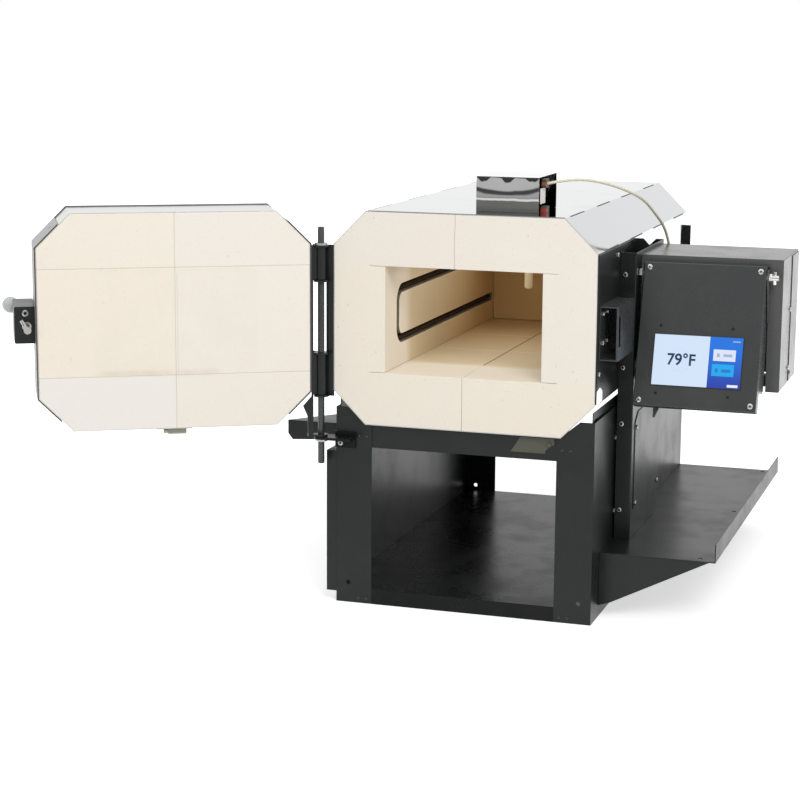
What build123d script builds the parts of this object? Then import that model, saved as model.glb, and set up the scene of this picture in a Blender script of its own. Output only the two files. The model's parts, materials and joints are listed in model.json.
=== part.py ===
from build123d import *
import os
from math import cos, pi, radians, sin, sqrt, tan

# A bench heat treat oven: an octagonal firebrick chamber in a polished jacket, on a
# sheet steel stand, with a brick door on a rod hinge and a tilting controller.
# +X is the oven's right, +Y runs into the chamber and +Z is up. The origin is on the
# table, at the middle of the stand's front foot. Everything is in millimetres.

os.makedirs("parts", exist_ok=True)

# Chamber and bricks
BORE_W = 228.6
BORE_H = 152.4
WALL = 76.2
FULL_BRICK = 152.4
FULL_RINGS = 3
END_RING = 95.25
JOINT = 0.4
CORNER = 47.0
DOOR_THICK = 76.2
DOOR_BACKING = 19.0
EDGE_T = 2.0
EDGE_REACH = 30.0

# Sheet metal and clearances
JACKET_T = 0.8
SHEET = 1.5
BRACKET_T = 2.5
SEAT_GAP = 0.2

# Stand
BODY_Z = 269.0
FOOT_FLANGE = 20.0
FACE_OVERHANG = 9.2
STAND_TAIL = 24.0
POST_W = 54.0
POST_RISE = 22.0
RAIL_H = 36.0
PAN_H = 22.0
RIVET_R = 2.6
FOOT_HOLE_R = 3.25

# Hinge, in the closed position
ROD_R = 4.76
ROD_OUT = 17.5
ROD_FORWARD = 6.9
ROD_TOP = 26.0
ROD_CLEAR = 0.06
SLEEVE_R = 7.0
TONGUE_R = 10.5
DOOR_GAP = 0.8
DOOR_OPEN = 150.0

# Latch, in the closed position
LATCH_ANGLE = 31.0
HOOK_REACH = 16.0
HOOK_R = 2.5
SHAFT_R = 4.0
KNOB_R = 12.5

# Controls
TOWER_W = 23.0
TOWER_DEPTH = 200.0
TOWER_BACK = 140.0
TOWER_DROP = 58.6
BRACE_BACK = 238.0
FIX_LOW = 44.0
FIX_MID = 172.0
FIX_UPPER = 72.0
FIX_TOP = 90.0
SPACER_LOW = 40.0
SPACER_HIGH = 150.0
HOUSING_W = 203.0
HOUSING_H = 190.0
HOUSING_DEPTH = 153.0
HOUSING_BACK = 175.0
MOUTH_FLANGE = 16.0
MOUTH_TOP = 11.0
EAR_T = 2.0
EAR_GAP = 1.0
EAR_CLEAR = 1.8
EAR_DROP = 66.0
TRAY_MARGIN = 8.2
TRAY_W = HOUSING_W - TRAY_MARGIN - EAR_GAP - EAR_T - EAR_CLEAR - MOUTH_FLANGE
TRAY_H = 207.0
TRAY_FORWARD = 23.0
TRAY_LOWER = 9.5
TRAY_TILT = 17.4
PIVOT_DEPTH = 8.0
PIVOT_DROP = 15.0
PIVOT_R = 3.0
SCREEN_W = 127.0
SCREEN_H = 74.0
SCREEN_DROP = 103.0
BOARD_EDGE = 6.0
CHIP_W = 32.0
CHIP_H = 30.0
RELAY_W = 46.0
RELAY_H = 58.0
RELAY_DEPTH = 27.0

# Shelf
SHELF_Z = 95.0
SHELF_W = 166.0
SHELF_LIP = 25.0
SHELF_BACK = 56.0
SHELF_HEM = 30.0
SHELF_SKIRT = 32.0
HOLE_IN = 24.0
HOLE_END = 14.6
GUSSET_FOLD = 18.0

# Element and thermocouple
ELEMENT_R = 5.0
GROOVE_W = 13.0
GROOVE_D = 14.0
GROOVE_INSET = 39.4
TUBE_R = 6.0
PROBE_X = 62.0
PROBE_BACK = 125.0
CAP_X = 2.0
CAP_W = 91.0
CAP_BACK = 54.0
CAP_DEPTH = 101.0
CAP_H = 50.0
LEAD_R = 2.0

# Places worked out from the sizes above
HALF_W = BORE_W / 2 + WALL
SIDE = HALF_W + JACKET_T
BODY_H = BORE_H + 2 * WALL
BODY_TOP = BODY_Z + BODY_H
FLOOR_Z = BODY_Z + WALL
ROOF_Z = FLOOR_Z + BORE_H
MID_Z = BODY_Z + BODY_H / 2
STAND_Y0 = -FOOT_FLANGE / 2
FACE_Y = STAND_Y0 - FACE_OVERHANG
RING_LENGTHS = [END_RING] + [FULL_BRICK] * FULL_RINGS + [END_RING]
BRICK_Y1 = FACE_Y + sum(RING_LENGTHS)
BOARD_T = 9.5
REAR_Y = BRICK_Y1 + BOARD_T
STAND_Y1 = REAR_Y + STAND_TAIL
REST_Z = BODY_Z - JACKET_T
COVER_X = SIDE + SEAT_GAP
COVER_X1 = COVER_X + SHEET
HINGE_X = -(HALF_W + ROD_OUT)
HINGE_Y = FACE_Y - ROD_FORWARD
HINGE_AXIS = Axis((HINGE_X, HINGE_Y, 0), (0, 0, 1))

written = {}


def save(name, solids):
    """Keep the solids of one node and write them as one STEP file."""
    solids = list(solids) if isinstance(solids, (list, tuple)) else [solids]
    bodies = [s for item in solids for s in item.solids()]
    shape = bodies[0] if len(bodies) == 1 else Compound(children=bodies)
    shape.label = name
    export_step(shape, f"parts/{name}.step")
    written[name] = len(bodies)
    return bodies


def block(x0, x1, y0, y1, z0, z1):
    """A box between two planes along each axis."""
    corner = (Align.MIN, Align.MIN, Align.MIN)
    return Pos(x0, y0, z0) * Box(x1 - x0, y1 - y0, z1 - z0, align=corner)


def bar(start, end, radius):
    """A round bar from one point to another."""
    run = Vector(*end) - Vector(*start)
    seat = (Align.CENTER, Align.CENTER, Align.MIN)
    return Plane(origin=start, z_dir=run) * Cylinder(radius, run.length, align=seat)


def front_plate(points, y0, y1):
    """An outline in X and Z, thick from y0 to y1."""
    outline = Polyline(*[(x, y0, z) for x, z in points], close=True)
    return extrude(make_face(outline), amount=y1 - y0, dir=(0, 1, 0))


def side_plate(points, x0, x1):
    """An outline in Y and Z, thick from x0 to x1."""
    outline = Polyline(*[(x0, y, z) for y, z in points], close=True)
    return extrude(make_face(outline), amount=x1 - x0, dir=(1, 0, 0))


def flat_plate(points, z0, z1):
    """An outline in X and Y, thick from z0 to z1."""
    outline = Polyline(*[(x, y, z0) for x, y in points], close=True)
    return extrude(make_face(outline), amount=z1 - z0, dir=(0, 0, 1))


def octagon(grow=0.0):
    """The body's cross-section in X and Z, grown outwards evenly."""
    half = HALF_W + grow
    corner = CORNER + grow * (2 - sqrt(2))
    low = BODY_Z - grow
    high = BODY_TOP + grow
    return [
        (-half + corner, low),
        (half - corner, low),
        (half, low + corner),
        (half, high - corner),
        (half - corner, high),
        (-half + corner, high),
        (-half, high - corner),
        (-half, low + corner),
    ]


def swing(solids):
    """Turn closed door pieces to the open position that the oven is drawn in."""
    return [s.rotate(HINGE_AXIS, -DOOR_OPEN) for s in solids]


def prism(start, end, radius, sides=8):
    """A bar with flat sides, for nuts, posts, small pins and drilled clearances."""
    run = Vector(*end) - Vector(*start)
    return extrude(Plane(origin=start, z_dir=run) * RegularPolygon(radius, sides), amount=run.length)


def turned(plane, profile, sides):
    """A turned form with flat sides; the profile's (height, radius) pairs go from base to top."""
    rings = []
    for height, radius in profile:
        turns = [2 * pi * step / sides for step in range(sides)]
        spots = [(radius * cos(turn), radius * sin(turn), height) for turn in turns]
        rings.append([plane.from_local_coords(spot) for spot in spots])
    flats = [Face(Wire.make_polygon(rings[0])), Face(Wire.make_polygon(rings[-1]))]
    for low, high in zip(rings, rings[1:]):
        for step in range(sides):
            after = (step + 1) % sides
            corners = [low[step], low[after], high[after], high[step]]
            flats.append(Face(Wire.make_polygon(corners)))
    return Solid(Shell(flats))


def pan_head(point, direction, radius=4.0, height=2.4):
    """The low head of a screw or rivet on its seat point, narrowing to its top."""
    seat = Plane(origin=point, z_dir=direction)
    return turned(seat, [(0, radius), (height * 0.5, radius), (height, radius * 0.78)], 10)


# Bricks
SEAM = JOINT / 2
lining = {"roof": [], "floor": [], "left": [], "right": []}
ring_start = FACE_Y
for length in RING_LENGTHS:
    y0 = ring_start + (0 if ring_start == FACE_Y else SEAM)
    ring_start += length
    y1 = ring_start - (0 if ring_start == BRICK_Y1 else SEAM)
    for hand in (-1, 1):
        roof = [
            (hand * SEAM, ROOF_Z + SEAM),
            (hand * SEAM, BODY_TOP),
            (hand * (HALF_W - CORNER), BODY_TOP),
            (hand * HALF_W, BODY_TOP - CORNER),
            (hand * HALF_W, ROOF_Z + SEAM),
        ]
        lining["roof"].append(front_plate(roof, y0, y1))
        floor = [(x, 2 * MID_Z - z) for x, z in roof]
        lining["floor"].append(front_plate(floor, y0, y1))
    inner = BORE_W / 2
    lining["left"].append(block(-HALF_W, -inner, y0, y1, FLOOR_Z + SEAM, ROOF_Z - SEAM))
    lining["right"].append(block(inner, HALF_W, y0, y1, FLOOR_Z + SEAM, ROOF_Z - SEAM))

# Each side wall carries one element: two long legs joined by a rounded turn in front
LEG_LOW = FLOOR_Z + GROOVE_INSET
LEG_HIGH = ROOF_Z - GROOVE_INSET
TURN_Y = FACE_Y + 60.0
TURN_R = 20.0
PLUG_Y0 = BRICK_Y1 - WALL
LEG_END = PLUG_Y0 - 6.0
TAIL_X = HALF_W + 0.6


def element_path(x, y_end):
    """The element's centre line on one side wall, from the lower leg's rear end."""
    low = Line((x, y_end, LEG_LOW), (x, TURN_Y + TURN_R, LEG_LOW))
    middle = TURN_R * cos(radians(45))
    turn_low = ThreePointArc(
        (x, TURN_Y + TURN_R, LEG_LOW),
        (x, TURN_Y + TURN_R - middle, LEG_LOW + TURN_R - middle),
        (x, TURN_Y, LEG_LOW + TURN_R),
    )
    front = Line((x, TURN_Y, LEG_LOW + TURN_R), (x, TURN_Y, LEG_HIGH - TURN_R))
    turn_high = ThreePointArc(
        (x, TURN_Y, LEG_HIGH - TURN_R),
        (x, TURN_Y + TURN_R - middle, LEG_HIGH - TURN_R + middle),
        (x, TURN_Y + TURN_R, LEG_HIGH),
    )
    high = Line((x, TURN_Y + TURN_R, LEG_HIGH), (x, y_end, LEG_HIGH))
    return Wire([low, turn_low, front, turn_high, high])


def groove_cut(hand):
    """The groove of one side wall: a rounded frame of its two legs and front turn."""
    x0 = hand * (BORE_W / 2 - 1.0)
    x1 = hand * (BORE_W / 2 + GROOVE_D)
    half = GROOVE_W / 2
    outer = block(min(x0, x1), max(x0, x1), TURN_Y - half, LEG_END, LEG_LOW - half, LEG_HIGH + half)
    inner = block(min(x0, x1) - 1, max(x0, x1) + 1, TURN_Y + half, LEG_END + 1, LEG_LOW + half, LEG_HIGH - half)
    outer = fillet(outer.edges().filter_by(Axis.X).group_by(Axis.Y)[0], TURN_R + half)
    inner = fillet(inner.edges().filter_by(Axis.X).group_by(Axis.Y)[0], TURN_R - half)
    return outer - inner


elements = {}
for side, hand in (("left", -1), ("right", 1)):
    cut = groove_cut(hand)
    lining[side] = [brick - cut for brick in lining[side]]
    x = hand * (BORE_W / 2 + GROOVE_D - ELEMENT_R - SEAT_GAP)
    path = element_path(x, LEG_END - SEAT_GAP)
    start = Plane(origin=(x, LEG_END - SEAT_GAP, LEG_LOW), z_dir=(0, -1, 0))
    coil = sweep(start * RegularPolygon(ELEMENT_R, 8), path=path)
    tails = []
    for z in (LEG_LOW, LEG_HIGH):
        y = LEG_END - SEAT_GAP - ELEMENT_R - 6.0
        tails.append(prism((x, y, z), (hand * TAIL_X, y, z), 2.0))
        hole = prism((x, y, z), (hand * (HALF_W + 10), y, z), 2.4)
        lining[side] = [brick - hole for brick in lining[side]]
    elements[side] = coil + tails[0] + tails[1]

# The thermocouple hangs through the roof, so the brick there is drilled
PROBE_Y = FACE_Y + PROBE_BACK
probe_hole = bar((PROBE_X, PROBE_Y, ROOF_Z - 5), (PROBE_X, PROBE_Y, BODY_TOP + 5), TUBE_R + 0.3)
lining["roof"] = [brick - probe_hole for brick in lining["roof"]]

save("roof_bricks", lining["roof"])
save("floor_bricks", lining["floor"])
save("left_wall_bricks", lining["left"])
save("right_wall_bricks", lining["right"])
save("left_element", elements["left"])
save("right_element", elements["right"])
plug = block(
    -BORE_W / 2 + JOINT, BORE_W / 2 - JOINT, PLUG_Y0, BRICK_Y1, FLOOR_Z + JOINT, ROOF_Z - JOINT
)
save("rear_wall_brick", plug)
save("rear_board", front_plate(octagon(), BRICK_Y1 + SEAT_GAP, REAR_Y))

# Polished jacket with its bend slots, and the rear cover
JACKET_Y0 = FACE_Y + 0.5
JACKET_Y1 = REAR_Y + 0.5
SLOT_L = 84.0
SLOT_PITCH = 166.0
SLOT_FIRST = 30.0
SLOT_SHIFT = 17.0
SLOT_W = 0.9
jacket = front_plate(octagon(JACKET_T), JACKET_Y0, JACKET_Y1)
jacket -= front_plate(octagon(SEAT_GAP / 4), JACKET_Y0 - 1, JACKET_Y1 + 1)
ridge_points = octagon(JACKET_T)
slot_count = int((JACKET_Y1 - JACKET_Y0 - SLOT_FIRST - 20) // SLOT_PITCH) + 1
for index, (x, z) in enumerate(ridge_points):
    if z > MID_Z:
        stagger = SLOT_FIRST if abs(x) < HALF_W - 5 else SLOT_FIRST + SLOT_SHIFT
        for step in range(slot_count):
            y = JACKET_Y0 + stagger + step * SLOT_PITCH
            if y + SLOT_L < JACKET_Y1 - 10:
                jacket -= block(x - SLOT_W, x + SLOT_W, y, y + SLOT_L, z - SLOT_W, z + SLOT_W)
jacket -= bar((PROBE_X, PROBE_Y, BODY_TOP - 5), (PROBE_X, PROBE_Y, BODY_TOP + 5), TUBE_R + 1.0)
for hand in (-1, 1):
    for z in (LEG_LOW, LEG_HIGH):
        y = LEG_END - SEAT_GAP - ELEMENT_R - 6.0
        jacket -= prism((hand * (HALF_W - 5), y, z), (hand * (HALF_W + 10), y, z), 4.0)
save("jacket", jacket)
REAR_COVER_Y = JACKET_Y1 + SEAT_GAP
REAR_RIM = 8.4
rear_cover = front_plate(octagon(JACKET_T), REAR_COVER_Y, REAR_COVER_Y + SHEET)
rear_cover += block(
    SIDE - 1, SIDE + REAR_RIM, REAR_COVER_Y, REAR_COVER_Y + SHEET, BODY_Z + CORNER + 2, BODY_TOP - CORNER - 21
)
save("rear_cover", rear_cover)

# Stand: two folded sides, a foot pan and two rails
SIDE_TOP = BODY_Z + POST_RISE
WEDGE = 4.0


def post_outline(hand):
    """One post of the stand in X and Z, cut along the body's sloping corner."""
    inner = HALF_W - POST_W
    slope_z = SIDE_TOP
    slope_x = HALF_W - CORNER + (slope_z - BODY_Z) + WEDGE
    foot_x = HALF_W - CORNER + WEDGE - 2 * WEDGE
    points = [
        (HALF_W, 0),
        (HALF_W, SIDE_TOP),
        (slope_x, SIDE_TOP),
        (foot_x, REST_Z - SEAT_GAP - WEDGE / 2),
        (inner, REST_Z - SEAT_GAP - WEDGE / 2),
        (inner, 0),
    ]
    return [(hand * x, z) for x, z in points]


def stand_side(hand):
    """One side of the stand: the side sheet, its two posts and its foot flanges."""
    x_out = hand * HALF_W
    x_in = hand * (HALF_W - SHEET)
    low, high = min(x_out, x_in), max(x_out, x_in)
    part = block(low, high, STAND_Y0, STAND_Y1, 0, SIDE_TOP)
    part += front_plate(post_outline(hand), STAND_Y0, STAND_Y0 + SHEET)
    part += front_plate(post_outline(hand), STAND_Y1 - SHEET, STAND_Y1)
    flange_in = hand * (HALF_W - FOOT_FLANGE)
    part += block(min(x_out, flange_in), max(x_out, flange_in), STAND_Y0, STAND_Y1, 0, SHEET)
    for y in (STAND_Y0 + SHEET / 2, STAND_Y1 - SHEET / 2):
        z = PAN_H + 8.0
        x = hand * (HALF_W - 18.5)
        part -= bar((x, y - 5, z), (x, y + 5, z), FOOT_HOLE_R)
    slot_y = STAND_Y0 + 26.0
    part -= block(low - 1, high + 1, slot_y, slot_y + 5, 60, 76)
    return part


save("stand_left_side", stand_side(-1))
save("stand_right_side", stand_side(1))

pan_x = HALF_W - SHEET - SEAT_GAP / 2
inner_x = HALF_W - POST_W - SEAT_GAP / 2
pan = block(-pan_x, pan_x, STAND_Y0 + SHEET + SEAT_GAP, STAND_Y1 - SHEET - SEAT_GAP, PAN_H - SHEET, PAN_H)
pan += block(-inner_x, inner_x, STAND_Y0, STAND_Y0 + SHEET, 0, PAN_H)
pan += block(-inner_x, inner_x, STAND_Y0, STAND_Y0 + SHEET + SEAT_GAP + 1, PAN_H - SHEET, PAN_H)
pan += block(-inner_x, inner_x, STAND_Y0, -STAND_Y0, 0, SHEET)
for hand in (-1, 1):
    edge = hand * pan_x
    lip = hand * (pan_x - SHEET)
    pan += block(
        min(edge, lip), max(edge, lip),
        STAND_Y0 + SHEET + SEAT_GAP, STAND_Y1 - SHEET - SEAT_GAP,
        SHEET + SEAT_GAP, PAN_H,
    )
save("base_pan", pan)


def rail(y_post, inward):
    """A cross rail behind two posts: a web with a top flange that carries the body."""
    top = REST_Z - SEAT_GAP / 2
    y_web = y_post + inward * (SHEET + SEAT_GAP / 2)
    y_back = y_web + inward * SHEET
    y_end = y_post + inward * RAIL_H
    web = block(-pan_x, pan_x, min(y_web, y_back), max(y_web, y_back), BODY_Z - RAIL_H, top)
    half = HALF_W - CORNER - 1.0
    return web + block(-half, half, min(y_web, y_end), max(y_web, y_end), top - SHEET, top)


save("front_rail", rail(STAND_Y0, 1))
save("rear_rail", rail(STAND_Y1, -1))

# Four rivets hold each front post to the pan and the rail
rivets = []
for hand in (-1, 1):
    for z in (PAN_H - 14.0, BODY_Z - RAIL_H + 17.0):
        for inset in (POST_W - 8.0, POST_W - 20.0):
            x = hand * (HALF_W - inset)
            rivets.append(pan_head((x, STAND_Y0 - 0.05, z), (0, -1, 0), RIVET_R, 1.2))
save("stand_rivets", rivets)

# Side covers over the element tails
COVER_LOW = BODY_Z + CORNER + 2.0
COVER_HIGH = BODY_TOP - CORNER - 1.0
COVER_STEP = 52.0
cover_outline = [
    (FACE_Y + 2, COVER_LOW),
    (FACE_Y + 2, COVER_HIGH),
    (FACE_Y + BRACE_BACK + SHEET, COVER_HIGH),
    (FACE_Y + BRACE_BACK + SHEET, COVER_HIGH - COVER_STEP),
    (JACKET_Y1 - 2, COVER_HIGH - COVER_STEP),
    (JACKET_Y1 - 2, COVER_LOW),
]
save("right_side_cover", side_plate(cover_outline, COVER_X, COVER_X1))

# Left: the cover and a thicker hinge plate that the rod's tongues are bent from
HINGE_BACK = 70.0
plain = [
    (FACE_Y + HINGE_BACK + 0.5, COVER_LOW),
    (FACE_Y + HINGE_BACK + 0.5, COVER_HIGH),
    (JACKET_Y1 - 2, COVER_HIGH),
    (JACKET_Y1 - 2, COVER_LOW),
]
save("left_side_cover", side_plate(plain, -COVER_X1, -COVER_X))

PLATE_Y0 = FACE_Y + 1.0
PLATE_Y1 = PLATE_Y0 + BRACKET_T
PLATE_TOP = BODY_TOP - 49.0
PLATE_LOW = BODY_Z + CORNER - 9.0
EAR_X = HINGE_X - 15.6
TONGUES = {
    "upper": (PLATE_TOP - 52.0, PLATE_TOP),
    "lower": (PLATE_LOW, PLATE_LOW + 64.0),
}
FOOT_Z = BODY_Z - 24.0


def tongue(z0, root_x0, root_x1):
    """A flat tongue round the rod, reaching forward from the hinge plate."""
    root = block(root_x0, root_x1, HINGE_Y, PLATE_Y1, z0, z0 + BRACKET_T)
    nose = prism((HINGE_X, HINGE_Y, z0), (HINGE_X, HINGE_Y, z0 + BRACKET_T), TONGUE_R, 24)
    hole = bar((HINGE_X, HINGE_Y, z0 - 1), (HINGE_X, HINGE_Y, z0 + BRACKET_T + 1), ROD_R + ROD_CLEAR)
    return root + nose - hole


hinge_plate = block(
    -(COVER_X + BRACKET_T), -COVER_X, PLATE_Y0, FACE_Y + HINGE_BACK, COVER_LOW, PLATE_TOP
)
hinge_plate += block(HINGE_X + 5.0, -COVER_X, PLATE_Y0, PLATE_Y1, PLATE_LOW, PLATE_TOP)
for low, high in TONGUES.values():
    hinge_plate += block(EAR_X, -COVER_X, PLATE_Y0, PLATE_Y1, low, high)
    for z0 in (low, high - BRACKET_T):
        hinge_plate += tongue(z0, HINGE_X - TONGUE_R, HINGE_X + TONGUE_R)
save("hinge_plate", hinge_plate)

# The foot of the hinge: a rounded tongue bolted to the left post
FOOT_T = 4.0
FOOT_FIX = -(HALF_W - 30.0)
foot_y1 = STAND_Y0 - SEAT_GAP / 4
foot = block(HINGE_X, FOOT_FIX, HINGE_Y - TONGUE_R, foot_y1, FOOT_Z, FOOT_Z + FOOT_T)
foot += prism((HINGE_X, HINGE_Y, FOOT_Z), (HINGE_X, HINGE_Y, FOOT_Z + FOOT_T), TONGUE_R, 24)
foot += block(HINGE_X, -HALF_W, HINGE_Y, foot_y1, FOOT_Z, FOOT_Z + FOOT_T)
foot += block(-HALF_W - 1, FOOT_FIX, foot_y1 - BRACKET_T, foot_y1, FOOT_Z - 14, FOOT_Z + 10)
foot -= bar((HINGE_X, HINGE_Y, FOOT_Z - 1), (HINGE_X, HINGE_Y, FOOT_Z + FOOT_T + 1), ROD_R + ROD_CLEAR)
FOOT_BOLT_X = -(HALF_W - 7.5)
FOOT_BOLT_Z = FOOT_Z - 7.0
save("hinge_foot", foot)

ROD_Z0 = FOOT_Z - 36.0
ROD_Z1 = PLATE_TOP + ROD_TOP
rod = bar((HINGE_X, HINGE_Y, ROD_Z0), (HINGE_X, HINGE_Y, ROD_Z1), ROD_R)
rod = chamfer(rod.edges().filter_by(GeomType.CIRCLE), 1.2)
save("hinge_rod", rod)
washers = []
for z0 in (PLATE_TOP + SEAT_GAP, FOOT_Z - SEAT_GAP - 3.0):
    ring = prism((HINGE_X, HINGE_Y, z0), (HINGE_X, HINGE_Y, z0 + 3.0), 9.0, 24)
    washers.append(ring - bar((HINGE_X, HINGE_Y, z0 - 1), (HINGE_X, HINGE_Y, z0 + 4), ROD_R))
save("hinge_washers", washers)

# Door, drawn closed and then swung open
DOOR_Y1 = FACE_Y - DOOR_GAP
DOOR_Y0 = DOOR_Y1 - DOOR_THICK
ROWS = [BODY_Z, BODY_Z + WALL, BODY_TOP - WALL, BODY_TOP]
door_octagon = front_plate(octagon(), DOOR_Y0, DOOR_Y1)
door_bricks = []
for row in range(3):
    for x0, x1 in ((-HALF_W - 1, -SEAM), (SEAM, HALF_W + 1)):
        z0 = ROWS[row] + (SEAM if row > 0 else -1)
        z1 = ROWS[row + 1] - (SEAM if row < 2 else -1)
        door_bricks += (door_octagon & block(x0, x1, DOOR_Y0 - 1, DOOR_Y1 + 1, z0, z1)).solids()
save("door_bricks", swing(door_bricks))
BOARD_Y0 = DOOR_Y0 - SEAT_GAP - DOOR_BACKING
save("door_board", swing([front_plate(octagon(), BOARD_Y0, DOOR_Y0 - SEAT_GAP)]))

BAND_Y1 = DOOR_Y1 - 1.5
band = front_plate(octagon(JACKET_T), BOARD_Y0 - SEAT_GAP, BAND_Y1)
band -= front_plate(octagon(SEAT_GAP / 4), BOARD_Y0 - 2, BAND_Y1 + 1)
save("door_band", swing([band]))
BACK_Y1 = BOARD_Y0 - 2 * SEAT_GAP
BACK_Y0 = BACK_Y1 - SHEET
EDGE_IN = JACKET_T + SEAT_GAP / 2
EDGE_OUT = EDGE_IN + EDGE_T
save("door_back_plate", swing([front_plate(octagon(EDGE_OUT), BACK_Y0, BACK_Y1)]))

# A thicker plate wraps each side of the door, up to two thirds of the sloping corners
edge_ring = front_plate(octagon(EDGE_OUT), BACK_Y1 + SEAT_GAP, DOOR_Y1 - 1.0)
edge_ring -= front_plate(octagon(EDGE_IN), BACK_Y1, DOOR_Y1)
edge_plates = []
for x0, x1 in ((-HALF_W - 10, -HALF_W + EDGE_REACH), (HALF_W - EDGE_REACH, HALF_W + 10)):
    edge_plates += (edge_ring & block(x0, x1, BACK_Y0, DOOR_Y1, BODY_Z, BODY_TOP)).solids()
save("door_side_plates", swing(edge_plates))

# The band is drawn tight by a screw clamp under the door
clamp_x0, clamp_x1 = -22.0, 28.0
clamp_z1 = BODY_Z - JACKET_T - SEAT_GAP
clamp = block(clamp_x0, clamp_x1, DOOR_Y1 - 17, DOOR_Y1 - 4, clamp_z1 - 1.2, clamp_z1)
clamp += chamfer(
    block(-14, 12, DOOR_Y1 - 16, DOOR_Y1 - 5, clamp_z1 - 9, clamp_z1 - 1.2).edges().filter_by(Axis.X), 1.5
)
clamp += prism((12, DOOR_Y1 - 10.5, clamp_z1 - 5), (18, DOOR_Y1 - 10.5, clamp_z1 - 5), 3.2, 6)
save("band_clamp", swing([clamp]))

# Hinge leaf: a strip on the door's hinge edge, two sleeves on the rod, and a lower arm
LEAF_X1 = -(HALF_W + EDGE_OUT + SEAT_GAP)
LEAF_X0 = LEAF_X1 - BRACKET_T
leaf = block(LEAF_X0, LEAF_X1, DOOR_Y1 - 58, DOOR_Y1 - 2, COVER_LOW, PLATE_TOP)
for low, high in TONGUES.values():
    z0 = low + BRACKET_T + 0.4
    z1 = high - BRACKET_T - 0.4
    sleeve = prism((HINGE_X, HINGE_Y, z0), (HINGE_X, HINGE_Y, z1), SLEEVE_R - 0.15, 24)
    web = block(HINGE_X, LEAF_X1 - BRACKET_T / 2, HINGE_Y - 1.5, HINGE_Y + 1.5, z0, z1)
    hole = bar((HINGE_X, HINGE_Y, z0 - 1), (HINGE_X, HINGE_Y, z1 + 1), ROD_R + ROD_CLEAR)
    leaf += sleeve + web - hole
ARM_LOW = FOOT_Z + FOOT_T + 0.4
arm_y1 = DOOR_Y1 - 2.0
arm_y0 = arm_y1 - BRACKET_T
arm = [
    (LEAF_X0, COVER_LOW + 12),
    (LEAF_X1, COVER_LOW + 12),
    (LEAF_X1, BODY_Z + CORNER - 8),
    (LEAF_X1 + 12.5, BODY_Z + CORNER - 22),
    (LEAF_X1 + 6.0, BODY_Z + 10),
    (LEAF_X1 + 5.0, ARM_LOW),
    (LEAF_X0, ARM_LOW),
]
leaf += front_plate(arm, arm_y0, arm_y1)
eye = block(HINGE_X, LEAF_X1 + 5.0, HINGE_Y - 7.0, arm_y1, ARM_LOW, ARM_LOW + BRACKET_T)
eye += prism((HINGE_X, HINGE_Y, ARM_LOW), (HINGE_X, HINGE_Y, ARM_LOW + BRACKET_T), TONGUE_R - 1, 24)
eye -= bar((HINGE_X, HINGE_Y, ARM_LOW - 1), (HINGE_X, HINGE_Y, ARM_LOW + 5), ROD_R + ROD_CLEAR)
leaf += eye
save("door_leaf", swing([leaf]))

door_fasteners = []
for z in (BODY_TOP - CORNER - 30, MID_Z - 43, BODY_Z + CORNER + 16):
    for y in (DOOR_Y1 - 20, DOOR_Y1 - 46):
        door_fasteners.append(pan_head((LEAF_X0 - 0.05, y, z), (-1, 0, 0), 4.6, 1.8))
for z in (BODY_TOP - CORNER - 35, BODY_Z + CORNER + 36):
    x = HALF_W + EDGE_OUT + 0.05
    door_fasteners.append(pan_head((x, DOOR_Y1 - 38, z), (1, 0, 0), 2.4, 1.2))
half_corner = CORNER / 2
for hand in (-1, 1):
    for z_hand in (-1, 1):
        x = hand * (HALF_W - half_corner)
        z = MID_Z + z_hand * (BODY_H / 2 - half_corner)
        out = (hand, 0, z_hand)
        lift = (EDGE_OUT + 0.05) / sqrt(2)
        seat = (x + hand * lift, DOOR_Y1 - 38, z + z_hand * lift)
        door_fasteners.append(pan_head(seat, out, 2.4, 1.2))

# Latch: a box on the free edge, with the shaft, hook and knob turning together
LATCH_X = SIDE + 13.7
LATCH_Z = MID_Z - 5.0
BOX_X0 = HALF_W + EDGE_OUT + SEAT_GAP
BOX_X1 = LATCH_X + 17.0
BOX_Z0 = LATCH_Z - 25.0
BOX_Z1 = LATCH_Z + 27.0
BOX_Y1 = FACE_Y - 25.4
BOX_Y0 = FACE_Y - 112.0
box = block(BOX_X0, BOX_X1, BOX_Y0, BOX_Y1, BOX_Z0, BOX_Z1)
box = chamfer(box.edges().filter_by(Axis.Y).group_by(Axis.X)[-1], 1.5)
box -= block(BOX_X0 - 1, BOX_X1 - SHEET, BOX_Y0 + SHEET, BOX_Y1 - SHEET, BOX_Z0 + SHEET, BOX_Z1 - SHEET)
shaft_line = ((LATCH_X, BOX_Y0 - 30, LATCH_Z), (LATCH_X, BOX_Y1 + 30, LATCH_Z))
box -= bar(*shaft_line, SHAFT_R + 0.06)
save("latch_box", swing([box]))
bolt = pan_head((LATCH_X + 1.5, BOX_Y1 + 0.05, LATCH_Z + 18), (0, 1, 0), 5.0, 3.0)
bolt -= prism(
    (LATCH_X + 1.5, BOX_Y1 + 1.4, LATCH_Z + 18), (LATCH_X + 1.5, BOX_Y1 + 4, LATCH_Z + 18), 2.0, 6
)
door_fasteners.append(bolt)
save("door_fasteners", swing(door_fasteners))

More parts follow.
